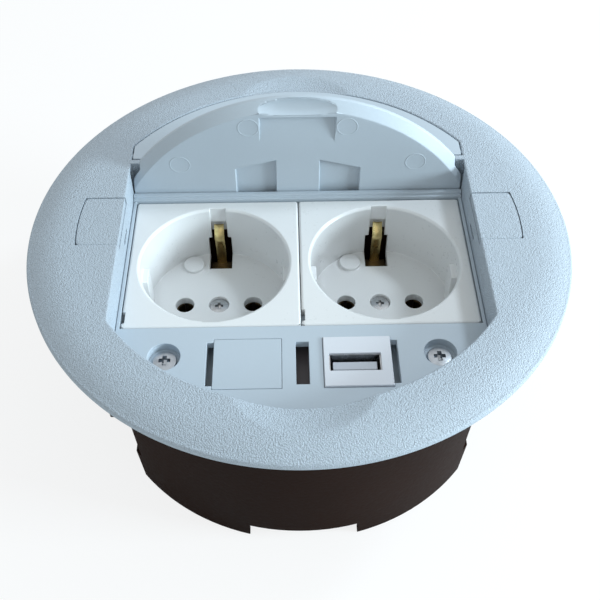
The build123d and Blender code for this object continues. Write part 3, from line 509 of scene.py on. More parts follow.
HOUSING = Moulded(
    "grained_housing", linear(171, 181, 191),
    roughness=0.5, grain_size=0.23, grain_height=0.34, grain_shade=0.3, pebbled=0.55,
)
SMOOTH = Moulded(
    "smooth_housing", linear(182, 192, 201),
    roughness=0.44, grain_size=0.9, grain_height=0.012, grain_shade=0.012, mottle=0.025,
)
WHITE = Moulded(
    "white_plastic", linear(244, 246, 247),
    roughness=0.3, grain_size=1.1, grain_height=0.006, grain_shade=0.008, mottle=0.015, coat=0.25,
)
# Dark grey for the middle slot's web: painted shade of the deep slot, not the panel's own colour
WEB_PAINTED_SHADE = Moulded(
    "web_painted_shade", linear(106, 98, 100),
    roughness=0.5, grain_size=0.9, grain_height=0.012, grain_shade=0.012, mottle=0.025,
)
LAVENDER = Moulded(
    "usb_plastic", linear(214, 223, 247),
    roughness=0.34, grain_size=1.0, grain_height=0.006, grain_shade=0.01, mottle=0.015, coat=0.15,
)
# Grey, though the tongue itself is white: painted shade of the tongue sunk in its port
TONGUE = Moulded(
    "tongue_plastic_painted_shade", linear(184, 188, 196),
    roughness=0.34, grain_size=1.0, grain_height=0.006, grain_shade=0.01, mottle=0.03, coat=0.15,
)
BASE = Moulded(
    "base_plastic", linear(66, 56, 51),
    roughness=0.5, grain_size=0.8, grain_height=0.01, grain_shade=0.02, mottle=0.03,
)
DARK = Moulded(
    "dark_plastic", linear(35, 20, 14),
    roughness=0.5, grain_size=0.7, grain_height=0.04, grain_shade=0.12, mottle=0.2, ior=1.1, pebbled=0.55,
)
CLAW = Moulded(
    "claw_plastic", linear(32, 31, 32),
    roughness=0.45, grain_size=0.6, grain_height=0.02, grain_shade=0.06, mottle=0.06, pebbled=0.55,
)
RUBBER = Moulded(
    "soft_black", linear(38, 37, 38),
    roughness=0.75, grain_size=0.5, grain_height=0.03, grain_shade=0.1, mottle=0.08, pebbled=0.55,
)
STEEL = Metal("plated_steel", (0.5, 0.52, 0.54), tarnish=(0.26, 0.26, 0.25), roughness=0.3)
ZINC = Metal("dull_zinc", (0.42, 0.46, 0.5), tarnish=(0.24, 0.26, 0.28), roughness=0.34)
SHELL = Metal("drawn_shell", (0.46, 0.45, 0.46), tarnish=(0.28, 0.26, 0.25), roughness=0.34)
BRASS = Metal("brass", (0.66, 0.53, 0.24), tarnish=(0.36, 0.27, 0.12), roughness=0.3)
# Brass darkened far below its own colour: partly tarnish, mostly painted shade of the deep pin holes and
# slots it sits in
SHADE_DARKENED_BRASS = Metal("contact_brass_painted_shade", (0.13, 0.098, 0.055), tarnish=(0.07, 0.052, 0.034), roughness=0.45)
BOARD = Lacquered("circuit_board", linear(24, 96, 52), track=linear(58, 140, 82))
BROWN = Insulation("wire_brown", linear(104, 62, 38), stripe=linear(104, 62, 38))
BLUE = Insulation("wire_blue", linear(56, 96, 176), stripe=linear(56, 96, 176))
GREEN = Insulation("wire_green", linear(72, 140, 60), stripe=linear(222, 205, 70))


def full_turn(steps: int) -> np.ndarray:
    """Even angles of a whole turn, from 0."""
    return np.linspace(0, 2 * math.pi, steps, endpoint=False)


def around_z(radius: np.ndarray | float, angle: np.ndarray, level: np.ndarray | float) -> np.ndarray:
    """Points about Z: radius r, angle a and height z become (r cos a, r sin a, z).

    Args:
        radius, level: Radius and height: one for a row of points, one for each, or a column of rows.
        angle: The angles of a row.

    Returns:
        The points, their three coordinates last.
    """
    x, y = radius * np.cos(angle), radius * np.sin(angle)
    return np.stack((x, y, np.broadcast_to(level, x.shape)), axis=-1)


def rounded_corner(centre: Pair, radius: float, start: float, end: float, steps: int = 5) -> np.ndarray:
    """Points of an arc in a plane.

    Args:
        centre: Middle of the arc.
        radius: The arc's radius.
        start, end: Angles in degrees, from the first axis towards the second.
        steps: How many points there are.

    Returns:
        One row for each point.
    """
    angle = np.radians(np.linspace(start, end, steps))
    return np.stack((centre[0] + radius * np.cos(angle), centre[1] + radius * np.sin(angle)), axis=-1)


def smooth_step(value: np.ndarray) -> np.ndarray:
    """The cubic that rises smoothly from 0 to 1 while the value does."""
    held = np.clip(value, 0, 1)
    return held * held * (3 - 2 * held)


@dataclass
class Surface:
    """Points in millimetres and the faces between them."""

    points: np.ndarray
    faces: list[np.ndarray]
    around: np.ndarray | None = None  # place round a tube's section, 0 to 1, for each point

    @classmethod
    def from_grid(cls, grid: np.ndarray, wrap_rows: bool = False) -> "Surface":
        """Surface of a grid of points, each row of which is a closed loop.

        Point (row, column) has the number row * columns + column, and each face joins a point to the
        next ones along its row and its column.

        Args:
            grid: Points as an array of rows, columns and three coordinates.
            wrap_rows: Whether the last row joins the first.

        Returns:
            The surface.
        """
        rows, columns = grid.shape[:2]
        row = np.arange(rows if wrap_rows else rows - 1)
        row, column = np.meshgrid(row, np.arange(columns), indexing="ij")
        next_row, next_column = (row + 1) % rows, (column + 1) % columns
        loop = ((row, column), (next_row, column), (next_row, next_column), (row, next_column))
        faces = np.stack([r * columns + c for r, c in loop], axis=-1).reshape(-1, 4)
        return cls(grid.reshape(-1, 3), [faces])

    def capped(self, rows: int, columns: int) -> "Surface":
        """Closes both open ends of a grid with one flat face each.

        Args:
            rows, columns: Size of the grid that the surface was made from.

        Returns:
            This surface.
        """
        first = np.arange(columns)
        self.faces += [first[None, :], (first + (rows - 1) * columns)[None, ::-1]]
        return self

    def joined(self, *others: "Surface") -> "Surface":
        """One surface of this one and others.

        Args:
            others: The other surfaces.

        Returns:
            A new surface with every point and face.
        """
        points, faces = [self.points], list(self.faces)
        count = len(self.points)
        for other in others:
            points.append(other.points)
            faces += [block + count for block in other.faces]
            count += len(other.points)
        return Surface(np.concatenate(points), faces)

    def moved(self, x: float, y: float, z: float) -> "Surface":
        """The same surface at another place, in millimetres."""
        return Surface(self.points + np.array((x, y, z)), self.faces, self.around)

    def to_the_front(self) -> "Surface":
        """The same surface with its +Z turned to -Y."""
        x, y, z = self.points.T
        return Surface(np.stack((x, -z, y), axis=-1), self.faces)


Steps = Sequence[tuple[Surface, Step]]


def slab(low: Triple, high: Triple) -> Surface:
    """Plain block between two corners.

    Args:
        low, high: Its lowest and its highest corner.

    Returns:
        The closed surface.
    """
    points = np.array(np.meshgrid(*zip(low, high), indexing="ij")).reshape(3, -1).T
    faces = np.array(((0, 1, 3, 2), (4, 6, 7, 5), (0, 4, 5, 1), (2, 3, 7, 6), (0, 2, 6, 4), (1, 5, 7, 3)))
    return Surface(points, [faces])


def side_slab(side: Side, x: Pair, y: Pair, z: Pair) -> Surface:
    """Plain block on one side of the middle.

    Args:
        side: Which side.
        x: How far its two ends are from the middle.
        y, z: Its lowest and highest Y and Z.

    Returns:
        The closed surface.
    """
    ends = sorted(side.sign * away for away in x)
    return slab(*zip(ends, y, z))


def prism_along_x(outline: Sequence[Pair], low_x: float, high_x: float) -> Surface:
    """Block whose outline in Y and Z is carried along X.

    Args:
        outline: The outline's (y, z) corners in order.
        low_x, high_x: Its two ends.

    Returns:
        The closed surface.
    """
    y, z = np.array(outline).T
    rows = [np.column_stack((np.full(len(y), x), y, z)) for x in (low_x, high_x)]
    return Surface.from_grid(np.stack(rows)).capped(2, len(y))


def frame_round(middle: Pair, half: Pair, wall: float, z: Pair) -> Surface:
    """Open frame: a hollow upright rectangle, with a wall that goes inwards.

    Args:
        middle: Its axis, as X and Y.
        half: Half its outer size along X and Y.
        wall: Thickness of its wall.
        z: Its foot and its top.

    Returns:
        The closed surface.
    """
    signs = np.array(((1, 1), (-1, 1), (-1, -1), (1, -1)))
    rows = []
    for inset, level in ((0, z[0]), (0, z[1]), (wall, z[1]), (wall, z[0])):
        plan = signs * (half[0] - inset, half[1] - inset) + middle
        rows.append(np.column_stack((plan, np.full(4, level))))
    return Surface.from_grid(np.stack(rows), wrap_rows=True)


@dataclass(frozen=True)
class Extent:
    """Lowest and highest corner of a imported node, in millimetres."""

    low: np.ndarray
    high: np.ndarray

    @classmethod
    def of(cls, node: str) -> "Extent":
        """Extent of a node by its name."""
        low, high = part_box(node)
        return cls(np.array(low) / MM, np.array(high) / MM)

    @property
    def centre(self) -> np.ndarray:
        """Middle of the box."""
        return (self.low + self.high) / 2


def linked(name: str, data: bpy.types.ID) -> bpy.types.Object:
    """Makes an object and links it to the scene.

    Args:
        name: The object's name.
        data: Its mesh, lamp or camera.

    Returns:
        The object.
    """
    made = bpy.data.objects.new(name, data)
    bpy.context.scene.collection.objects.link(made)
    return made


def weld(mesh: bpy.types.Mesh, turn_outward: bool) -> None:
    """Merges a mesh's doubles and clears faces without area.

    Args:
        mesh: The mesh.
        turn_outward: Whether its normals are worked out anew, outward.
    """
    shape = bmesh.new()
    shape.from_mesh(mesh)
    bmesh.ops.remove_doubles(shape, verts=shape.verts, dist=WELD)
    bmesh.ops.dissolve_degenerate(shape, edges=shape.edges, dist=WELD)
    if turn_outward:
        bmesh.ops.recalc_face_normals(shape, faces=shape.faces)
    shape.to_mesh(mesh)
    shape.free()


def shade_with_creases(mesh: bpy.types.Mesh) -> None:
    """Shades a mesh smooth, apart from its sharp edges."""
    mesh.shade_smooth()
    mesh.set_sharp_from_angle(angle=CREASE)


def form(surface: Surface, name: str) -> bpy.types.Object:
    """Makes a surface an object, with its doubles welded and its normals outward.

    Args:
        surface: The surface.
        name: The object's name.

    Returns:
        The object, linked to the scene.
    """
    mesh = bpy.data.meshes.new(name)
    faces = [row for block in surface.faces for row in block.tolist()]
    mesh.from_pydata((surface.points * MM).tolist(), [], faces)
    if surface.around is not None:
        layer = mesh.uv_layers.new(name="around")
        points = np.empty(len(mesh.loops), dtype=np.int32)
        mesh.loops.foreach_get("vertex_index", points)
        pairs = np.zeros((len(points), 2))
        pairs[:, 0] = surface.around[points]
        layer.data.foreach_set("uv", pairs.ravel())
    weld(mesh, turn_outward=True)
    shade_with_creases(mesh)
    return linked(name, mesh)


def cut(piece: bpy.types.Object, steps: Steps) -> None:
    """Cuts surfaces from a piece, or adds them to it, and keeps the result as its mesh.

    Args:
        piece: The object.
        steps: Each surface with what it does.
    """
    for surface, step in steps:
        tool = form(surface, "cutting_tool")
        boolean = piece.modifiers.new("cut", "BOOLEAN")
        boolean.operation = step.value
        boolean.solver = "EXACT"
        boolean.object = tool
        seen = piece.evaluated_get(bpy.context.evaluated_depsgraph_get())
        mesh = bpy.data.meshes.new_from_object(seen)
        piece.modifiers.clear()
        piece.data = mesh
        bpy.data.objects.remove(tool)
    shade_with_creases(piece.data)


def round_edges(piece: bpy.types.Object, edge: Edge) -> None:
    """Rounds a piece's sharp edges, and keeps the faces between them flat in their shading.

    Args:
        piece: The object.
        edge: How round its edges are.
    """
    bevel = piece.modifiers.new("rounded_edges", "BEVEL")
    bevel.limit_method = "ANGLE"
    bevel.angle_limit = CREASE
    bevel.width = edge.value * MM
    bevel.segments = BEVEL_SEGMENTS
    bevel.use_clamp_overlap = False
    bevel.loop_slide = False
    normals = piece.modifiers.new("flat_faces", "WEIGHTED_NORMAL")
    normals.mode = "FACE_AREA"
    normals.weight = FLAT_WEIGHT
    normals.keep_sharp = False


class Workshop:
    """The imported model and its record, and the ways in which a piece is laid over it."""

    def __init__(self, frame: dict) -> None:
        """Reads which body and which material slot each node has.
        """
        self.nodes = frame["nodes"]
        record = frame["record"]
        bodies = record["behaviour"]["bodies"]
        self.body_of = {node: body for body, nodes in bodies.items() for node in nodes}
        self.slot_of = {part["node"]: part["material_slot"] for part in record["subparts"]}
        self.mounts = {mount["name"]: np.array(mount["pos_m"]) / MM for mount in record["mounts"]}
        self.materials: dict[str, bpy.types.Material] = {}

    def material(self, finish: Finish) -> bpy.types.Material:
        """Material of a finish, made once.

        Args:
            finish: The finish.

        Returns:
            Its material.
        """
        if finish.name not in self.materials:
            self.materials[finish.name] = finish.material()
        return self.materials[finish.name]

    def publish(self, piece: bpy.types.Object, node: str, finish: Finish, replace: bool = True) -> None:
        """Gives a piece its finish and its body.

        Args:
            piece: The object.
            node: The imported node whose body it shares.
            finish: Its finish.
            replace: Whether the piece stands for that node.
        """
        piece.data.materials.clear()
        piece.data.materials.append(self.material(finish))
        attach(piece, self.body_of[node])
        if replace:
            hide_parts(node)
        LOG.info("%s: %d faces, rides on %s", piece.name, len(piece.data.polygons), self.body_of[node])

    def soften(self, node: str, finish: Finish, edge: Edge, steps: Steps = ()) -> None:
        """Lays a welded copy of a node with rounded edges over it.

        Args:
            node: The node's name.
            finish: Its finish.
            edge: How round its edges are.
            steps: Surfaces to cut from it or add to it first.
        """
        mesh = self.nodes[node].data.copy()
        weld(mesh, turn_outward=False)
        piece = linked(f"{node}_body", mesh)
        cut(piece, steps)
        round_edges(piece, edge)
        self.publish(piece, node, finish)


@dataclass
class Assembly:
    """A sub-assembly of the block, and the workshop that lays its pieces."""

    shop: Workshop


@dataclass
class TrimRing(Assembly):
    """The ring on the desk: crowned top with soft finger scoops, well walls, crossbar, port covers.

    Names in _r are radii, in _t thicknesses, in _w widths, in _h heights, in _y and _z places.
    """

    outer_r: float = 70.0
    ring_t: float = 4.0  # from its top down to its seat on the desk
    opening_r: float = 55.8
    opening_half_w: float = 46.1
    wall_t: float = 1.8
    side_wall_t: float = 2.2
    ledge_w: float = 1.5
    front_ledge_z: float = 51.0
    rear_ledge_z: float = 60.1
    ledge_step: float = 0.4  # behind the crossbar's front, where the ledge changes its height
    ledge_step_angle: float = 1e-4  # width of that step, radians
    rear_well_y: float = 25.4
    crossbar_front_y: float = 23.9
    crossbar_in: float = 0.3  # how far it goes into the walls
    crown_r: float = 58.0  # where the top starts to fall away
    crown_drop: float = 2.0
    crown_power: float = 2.65
    edge_round: float = 0.75
    mouth_round: float = 0.4
    seat_chamfer: float = 0.25
    scoop_y: float = 50.0
    scoop_half_w: float = 17.0
    scoop_reach: float = 13.8
    front_scoop: float = 2.6  # depth of the bowl, of which the opening cuts the middle away
    rear_scoop: float = 2.1
    scoop_blend: float = 0.1
    groove_r: float = 60.7  # groove under the ring for the cup's rim
    groove_h: float = 0.6
    port_low_y: float = -6.9
    port_high_y: float = 10.3
    port_r: float = 57.5
    port_deep: float = 2.2
    port_hook_w: float = 5.5
    port_slot_h: float = 1.3
    port_slot_z: float = 56.2
    port_slot_past: float = 0.5  # how far the slot's cut goes past the wall
    port_gap: float = 0.05  # round the port's cover
    lid_groove_y: float = 22.0
    lid_groove_half: float = 1.15
    lid_groove_out: float = 47.15
    lid_groove_top: float = 61.95
    steps: int = 640  # even angles round the ring
    mouth_steps: int = 5  # points across the mouth's rounded edge
    top_steps: int = 34  # and across the top
    edge_steps: int = 6  # and across the outer rounded edge
    port_steps: int = 24  # along a port's outer arc
    box: Extent = field(default_factory=lambda: Extent.of("trim_ring"))

    @property
    def top_z(self) -> float:
        """Height of the ring's flat middle."""
        return float(self.box.high[2])

    @property
    def wall_low_z(self) -> float:
        """Foot of the hanging walls."""
        return float(self.box.low[2])

    @property
    def ledge_step_y(self) -> float:
        """Where the ledge changes its height."""
        return self.crossbar_front_y + self.ledge_step

    def top(self, x: np.ndarray, y: np.ndarray) -> np.ndarray:
        """Height of the top face.

        Outside crown_r it falls by crown_drop times a power of the way to the edge. A scoop takes
        away its depth times t t / (t + blend), where t is 1 less the square of the distance from its
        middle over its half axes. So it is a bowl with a soft brim.

        Args:
            x, y: Place, in millimetres.

        Returns:
            Height, in millimetres.
        """
        reach = self.outer_r - self.edge_round - self.crown_r
        way = np.clip((np.hypot(x, y) - self.crown_r) / reach, 0, None)
        height = self.top_z - self.crown_drop * way**self.crown_power
        for scoop_y, depth in ((-self.scoop_y, self.front_scoop), (self.scoop_y, self.rear_scoop)):
            away = (x / self.scoop_half_w) ** 2 + ((y - scoop_y) / self.scoop_reach) ** 2
            inside = np.clip(1 - away, 0, None)
            height = height - depth * inside**2 / (inside + self.scoop_blend)
        return height

    def angles(self) -> np.ndarray:
        """Angles of the section planes.

        Returns:
            Even angles with those of the outline's corners and of the ledge's steps, in order.
        """
        even = np.linspace(-math.pi, math.pi, self.steps, endpoint=False)
        corner = math.acos(self.opening_half_w / self.opening_r)
        step = math.atan2(self.ledge_step_y, self.opening_half_w)
        extra = [corner, -corner, math.pi - corner, corner - math.pi]
        extra += [step, step + self.ledge_step_angle]
        extra += [math.pi - step, math.pi - step - self.ledge_step_angle]
        return np.sort(np.concatenate((even, extra)))

    def surface(self) -> Surface:
        """The ring: a closed section carried round the opening's outline.

        At angle a the outline lies min(R, W / |cos a|) from the axis, a circle with flat sides. Each
        row of the grid is one point of the section at every angle.

        Returns:
            The closed surface, without crossbar and cuts.
        """
        angle = self.angles()
        cosine, sine = np.cos(angle), np.sin(angle)
        flatness = np.maximum(np.abs(cosine), TINY)

        def outline(radius: float, half_w: float) -> np.ndarray:
            """Distance from the axis of a circle with flat sides."""
            return np.minimum(radius, half_w / flatness)

        mouth = outline(self.opening_r, self.opening_half_w)
        mouth_out = outline(self.opening_r + self.mouth_round, self.opening_half_w + self.mouth_round)
        inner = outline(self.opening_r - self.ledge_w, self.opening_half_w)
        wall = outline(self.opening_r + self.wall_t, self.opening_half_w + self.side_wall_t)
        wall_r = self.opening_r + self.wall_t
        ledge = np.where(sine * mouth > self.ledge_step_y, self.rear_ledge_z, self.front_ledge_z)
        rim = self.top(mouth_out * cosine, mouth_out * sine)
        rows = [(inner, self.wall_low_z), (inner, ledge), (mouth, ledge)]
        for turn in np.radians(np.linspace(0, 90, self.mouth_steps)):
            radius = mouth_out - (mouth_out - mouth) * math.cos(turn)
            rows.append((radius, rim - self.mouth_round * (1 - math.sin(turn))))
        flat_out = self.outer_r - self.edge_round
        for way in np.linspace(0, 1, self.top_steps)[1:]:
            radius = mouth_out + (flat_out - mouth_out) * way
            rows.append((radius, self.top(radius * cosine, radius * sine)))
        edge_z = rows[-1][1]
        for turn in np.radians(np.linspace(0, 90, self.edge_steps))[1:]:
            radius = flat_out + self.edge_round * math.sin(turn)
            rows.append((radius, edge_z - self.edge_round * (1 - math.cos(turn))))
        seat_z = self.top_z - self.ring_t
        groove_z = seat_z + self.groove_h
        rows += [(self.outer_r, seat_z + self.seat_chamfer), (self.outer_r - self.seat_chamfer, seat_z)]
        rows += [(self.groove_r, seat_z), (self.groove_r, groove_z), (wall_r, groove_z), (wall_r, seat_z)]
        rows += [(wall, seat_z), (wall, self.wall_low_z)]
        return Surface.from_grid(np.stack([around_z(r, angle, z) for r, z in rows]), wrap_rows=True)

    def port_block(self, side: Side) -> Surface:
        """Cut for a port's cover: straight inside, round like the ring outside, with a gap all round.

        Args:
            side: Which port.

        Returns:
            The closed surface.
        """
        radius = self.port_r + self.port_gap
        low_y, high_y = self.port_low_y - self.port_gap, self.port_high_y + self.port_gap
        arc = np.linspace(math.asin(low_y / radius), math.asin(high_y / radius), self.port_steps)
        outer = np.stack((radius * np.cos(arc), radius * np.sin(arc)), axis=-1)
        inner_x = self.opening_half_w - PAST
        outline = np.concatenate((outer, ((inner_x, high_y), (inner_x, low_y)))) * (side.sign, 1)
        levels = (self.top_z - self.port_deep, self.top_z + PAST)
        rows = [np.column_stack((outline, np.full(len(outline), z))) for z in levels]
        return Surface.from_grid(np.stack(rows)).capped(2, len(outline))

    def cuts(self) -> Steps:
        """Crossbar, cable ports, hook slots and lid grooves.

        Returns:
            The steps of joining and cutting.
        """
        near = self.opening_half_w - PAST
        bar_half = self.opening_half_w + self.crossbar_in
        bar_low = (-bar_half, self.crossbar_front_y, self.wall_low_z)
        steps = [(slab(bar_low, (bar_half, self.rear_well_y, self.top_z)), Step.ADD)]
        slot_out = self.opening_half_w + self.side_wall_t + self.port_slot_past
        hook_y = (self.port_low_y + self.port_high_y) / 2
        hook_half, slot_half = self.port_hook_w / 2, self.port_slot_h / 2
        slot_y = (hook_y - hook_half, hook_y + hook_half)
        slot_z = (self.port_slot_z - slot_half, self.port_slot_z + slot_half)
        groove_y = (self.lid_groove_y - self.lid_groove_half, self.lid_groove_y + self.lid_groove_half)
        groove_z = (self.wall_low_z - PAST, self.lid_groove_top)
        for side in Side:
            steps.append((self.port_block(side), Step.CUT))
            steps.append((side_slab(side, (near, slot_out), slot_y, slot_z), Step.CUT))
            steps.append((side_slab(side, (near, self.lid_groove_out), groove_y, groove_z), Step.CUT))
        return steps

    def build(self) -> None:
        """Lays the ring and its two port covers."""
        ring = form(self.surface(), "trim_ring_body")
        cut(ring, self.cuts())
        self.shop.publish(ring, "trim_ring", HOUSING)
        for side in Side:
            self.shop.soften(f"{side.word}_port_cover", HOUSING, Edge.MOULDED)


@dataclass
class LidAndFlap(Assembly):
    """The lid that stands in its slot, with the ejector marks of its mould, and the rear flap."""

    mark_r: float = 2.7
    mark_rise: float = 0.08
    # Points of the bead: how far out from mark_r, and height as a share of mark_rise
    mark_bead: tuple[Pair, ...] = ((0.16, 0.0), (0.08, 0.8), (0.0, 1.0), (-0.1, 0.3))
    mark_inside: float = 0.3  # width of the bead inside the mark's radius
    mark_disc: float = 0.012  # height of the flat disc in the bead
    mark_sunk: float = 0.3  # depth in the lid
    marks: tuple[Pair, ...] = ((13.0, 8.1), (32.1, 20.4))  # out from the middle, below the top
    notch_half_w: float = 13.6
    notch_r: float = 3.2
    notch_power: float = 2.3
    notch_shift: float = 1.0  # its axis, in front of the lid's face
    notch_below_top: float = 1.4
    mark_steps: int = 64
    notch_rows: int = 61
    notch_steps: int = 72

    def notch(self, box: Extent) -> Surface:
        """The finger notch, for cutting: radius r (1 - |x / w|^p)^(1 / p) turned about an axis along X.

        Args:
            box: The lid's extent.

        Returns:
            The closed surface.
        """
        x = self.notch_half_w * np.sin(np.linspace(-math.pi / 2, math.pi / 2, self.notch_rows))
        fullness = (1 - np.abs(x / self.notch_half_w) ** self.notch_power).clip(0)
        radius = self.notch_r * fullness[:, None] ** (1 / self.notch_power)
        angle = full_turn(self.notch_steps)
        y = box.low[1] - self.notch_shift + radius * np.cos(angle)
        z = box.high[2] - self.notch_below_top + radius * np.sin(angle)
        return Surface.from_grid(np.stack((np.broadcast_to(x[:, None], y.shape), y, z), axis=-1))

    def mark(self) -> Surface:
        """One round mark: a flat disc in a fine raised bead, as a profile turned about its axis.

        Returns:
            The closed surface, in front of Y = 0.
        """
        rim, out = self.mark_r, self.mark_bead[0][0]
        bead = [(rim + away, self.mark_rise * share) for away, share in self.mark_bead]
        foot = [(0, -self.mark_sunk), (rim + out, -self.mark_sunk)]
        disc = [(rim - self.mark_inside, self.mark_disc), (0, self.mark_disc)]
        profile = np.array(foot + bead + disc)
        points = around_z(profile[:, 0:1], full_turn(self.mark_steps), profile[:, 1:2])
        return Surface.from_grid(points).to_the_front()

    def build(self) -> None:
        """Lays the lid, its marks and the flap."""
        box = Extent.of("lid")
        self.shop.soften("lid", SMOOTH, Edge.MOULDED, [(self.notch(box), Step.CUT)])
        self.shop.soften("rear_flap", SMOOTH, Edge.FINE)
        places = [(hand * x, down) for x, down in self.marks for hand in (-1, 1)]
        marks = [self.mark().moved(x, box.low[1], box.high[2] - down) for x, down in places]
        piece = form(marks[0].joined(*marks[1:]), "lid_mould_marks")
        self.shop.publish(piece, "lid", SMOOTH, replace=False)


@dataclass
class FrontPanel(Assembly):
    """The panel with its frame, the blank insert and the charging insert."""

    opening_half: Pair = (6.22, 2.52)  # half the charging port's opening, along X and Y
    lip_wall: float = 0.24
    lip_sunk: float = 0.55  # below the insert's face
    lip_deep: float = 3.0  # below the shell's top
    tongue_sunk: float = 1.5  # below the insert's face
    tongue_chamfer: float = 0.7  # along Y
    tongue_chamfer_slope: float = 1.3  # how many times as far it goes down
    tongue_back: float = 1.1  # how far the tongue's tip stands behind its node
    tongue_tip: float = 2.2  # length of that tip
    tongue_corner: Pair = (0.2, 0.4)  # cut off its upper back edge, along Y and Z
    tongue_step: float = 0.4  # slope under the tip, along Z
    tongue_in: float = 0.35  # each end of the tongue inside its node's end
    web_x: Pair = (21.5, 24.0)  # ends of the web below the slot beside each insert
    web_y: Pair = (-45.2, -28.0)  # the webs' front and back
    web_z: Pair = (46.9, 47.7)  # their undersides and tops
    centre_web_half_w: float = 2.4

    def slot_webs(self) -> None:
        """Closes the slots beside the inserts and between them, below the face, with thin webs; the middle
        web is dark grey as painted shade.
        """
        for side in Side:
            web = form(side_slab(side, self.web_x, self.web_y, self.web_z), f"{side.word}_slot_web")
            self.shop.publish(web, "insert_panel", SMOOTH, replace=False)
        middle_x = (-self.centre_web_half_w, self.centre_web_half_w)
        web = form(slab(*zip(middle_x, self.web_y, self.web_z)), "centre_slot_web")
        # the middle web is dark grey: painted shade of the deep slot
        self.shop.publish(web, "insert_panel", WEB_PAINTED_SHADE, replace=False)

    def tongue(self, top: float) -> Surface:
        """The chamfered tongue of the charging port, with its tip.

        Args:
            top: Height of its upper end.

        Returns:
            The closed surface.
        """
        box = Extent.of("usb_tongue")
        front, back, low_z = box.low[1], box.high[1] + self.tongue_back, box.low[2]
        chamfer, tip_z = self.tongue_chamfer, top - self.tongue_tip
        outline = (
            (front, low_z), (front, top - self.tongue_chamfer_slope * chamfer), (front + chamfer, top),
            (back - self.tongue_corner[0], top), (back, top - self.tongue_corner[1]), (back, tip_z),
            (box.high[1], tip_z - self.tongue_step), (box.high[1], low_z),
        )
        return prism_along_x(outline, box.low[0] + self.tongue_in, box.high[0] - self.tongue_in)

    def charging_port(self) -> None:
        """Lays the shell with the lip that shows in the opening, and the tongue."""
        face_z = Extent.of("usb_insert").high[2]
        shell = Extent.of("usb_shell")
        self.shop.soften("usb_shell", SHELL, Edge.CRISP)
        lip_z = (shell.high[2] - self.lip_deep, face_z - self.lip_sunk)
        lip = frame_round(tuple(shell.centre[:2]), self.opening_half, self.lip_wall, lip_z)
        self.shop.publish(form(lip, "usb_shell_lip"), "usb_shell", STEEL, replace=False)
        piece = form(self.tongue(face_z - self.tongue_sunk), "usb_tongue_moulded")
        round_edges(piece, Edge.CRISP)
        # the tongue's grey is painted shade of its place deep in the port
        self.shop.publish(piece, "usb_tongue", TONGUE)

    def build(self) -> None:
        """Lays the panel's pieces."""
        self.shop.soften("insert_panel", SMOOTH, Edge.FINE)
        self.shop.soften("blank_insert", SMOOTH, Edge.FINE)
        self.shop.soften("usb_insert", LAVENDER, Edge.FINE)
        self.charging_port()
        self.slot_webs()
        self.shop.soften("usb_contacts", BRASS, Edge.CRISP)
        self.shop.soften("usb_board", BOARD, Edge.CRISP)


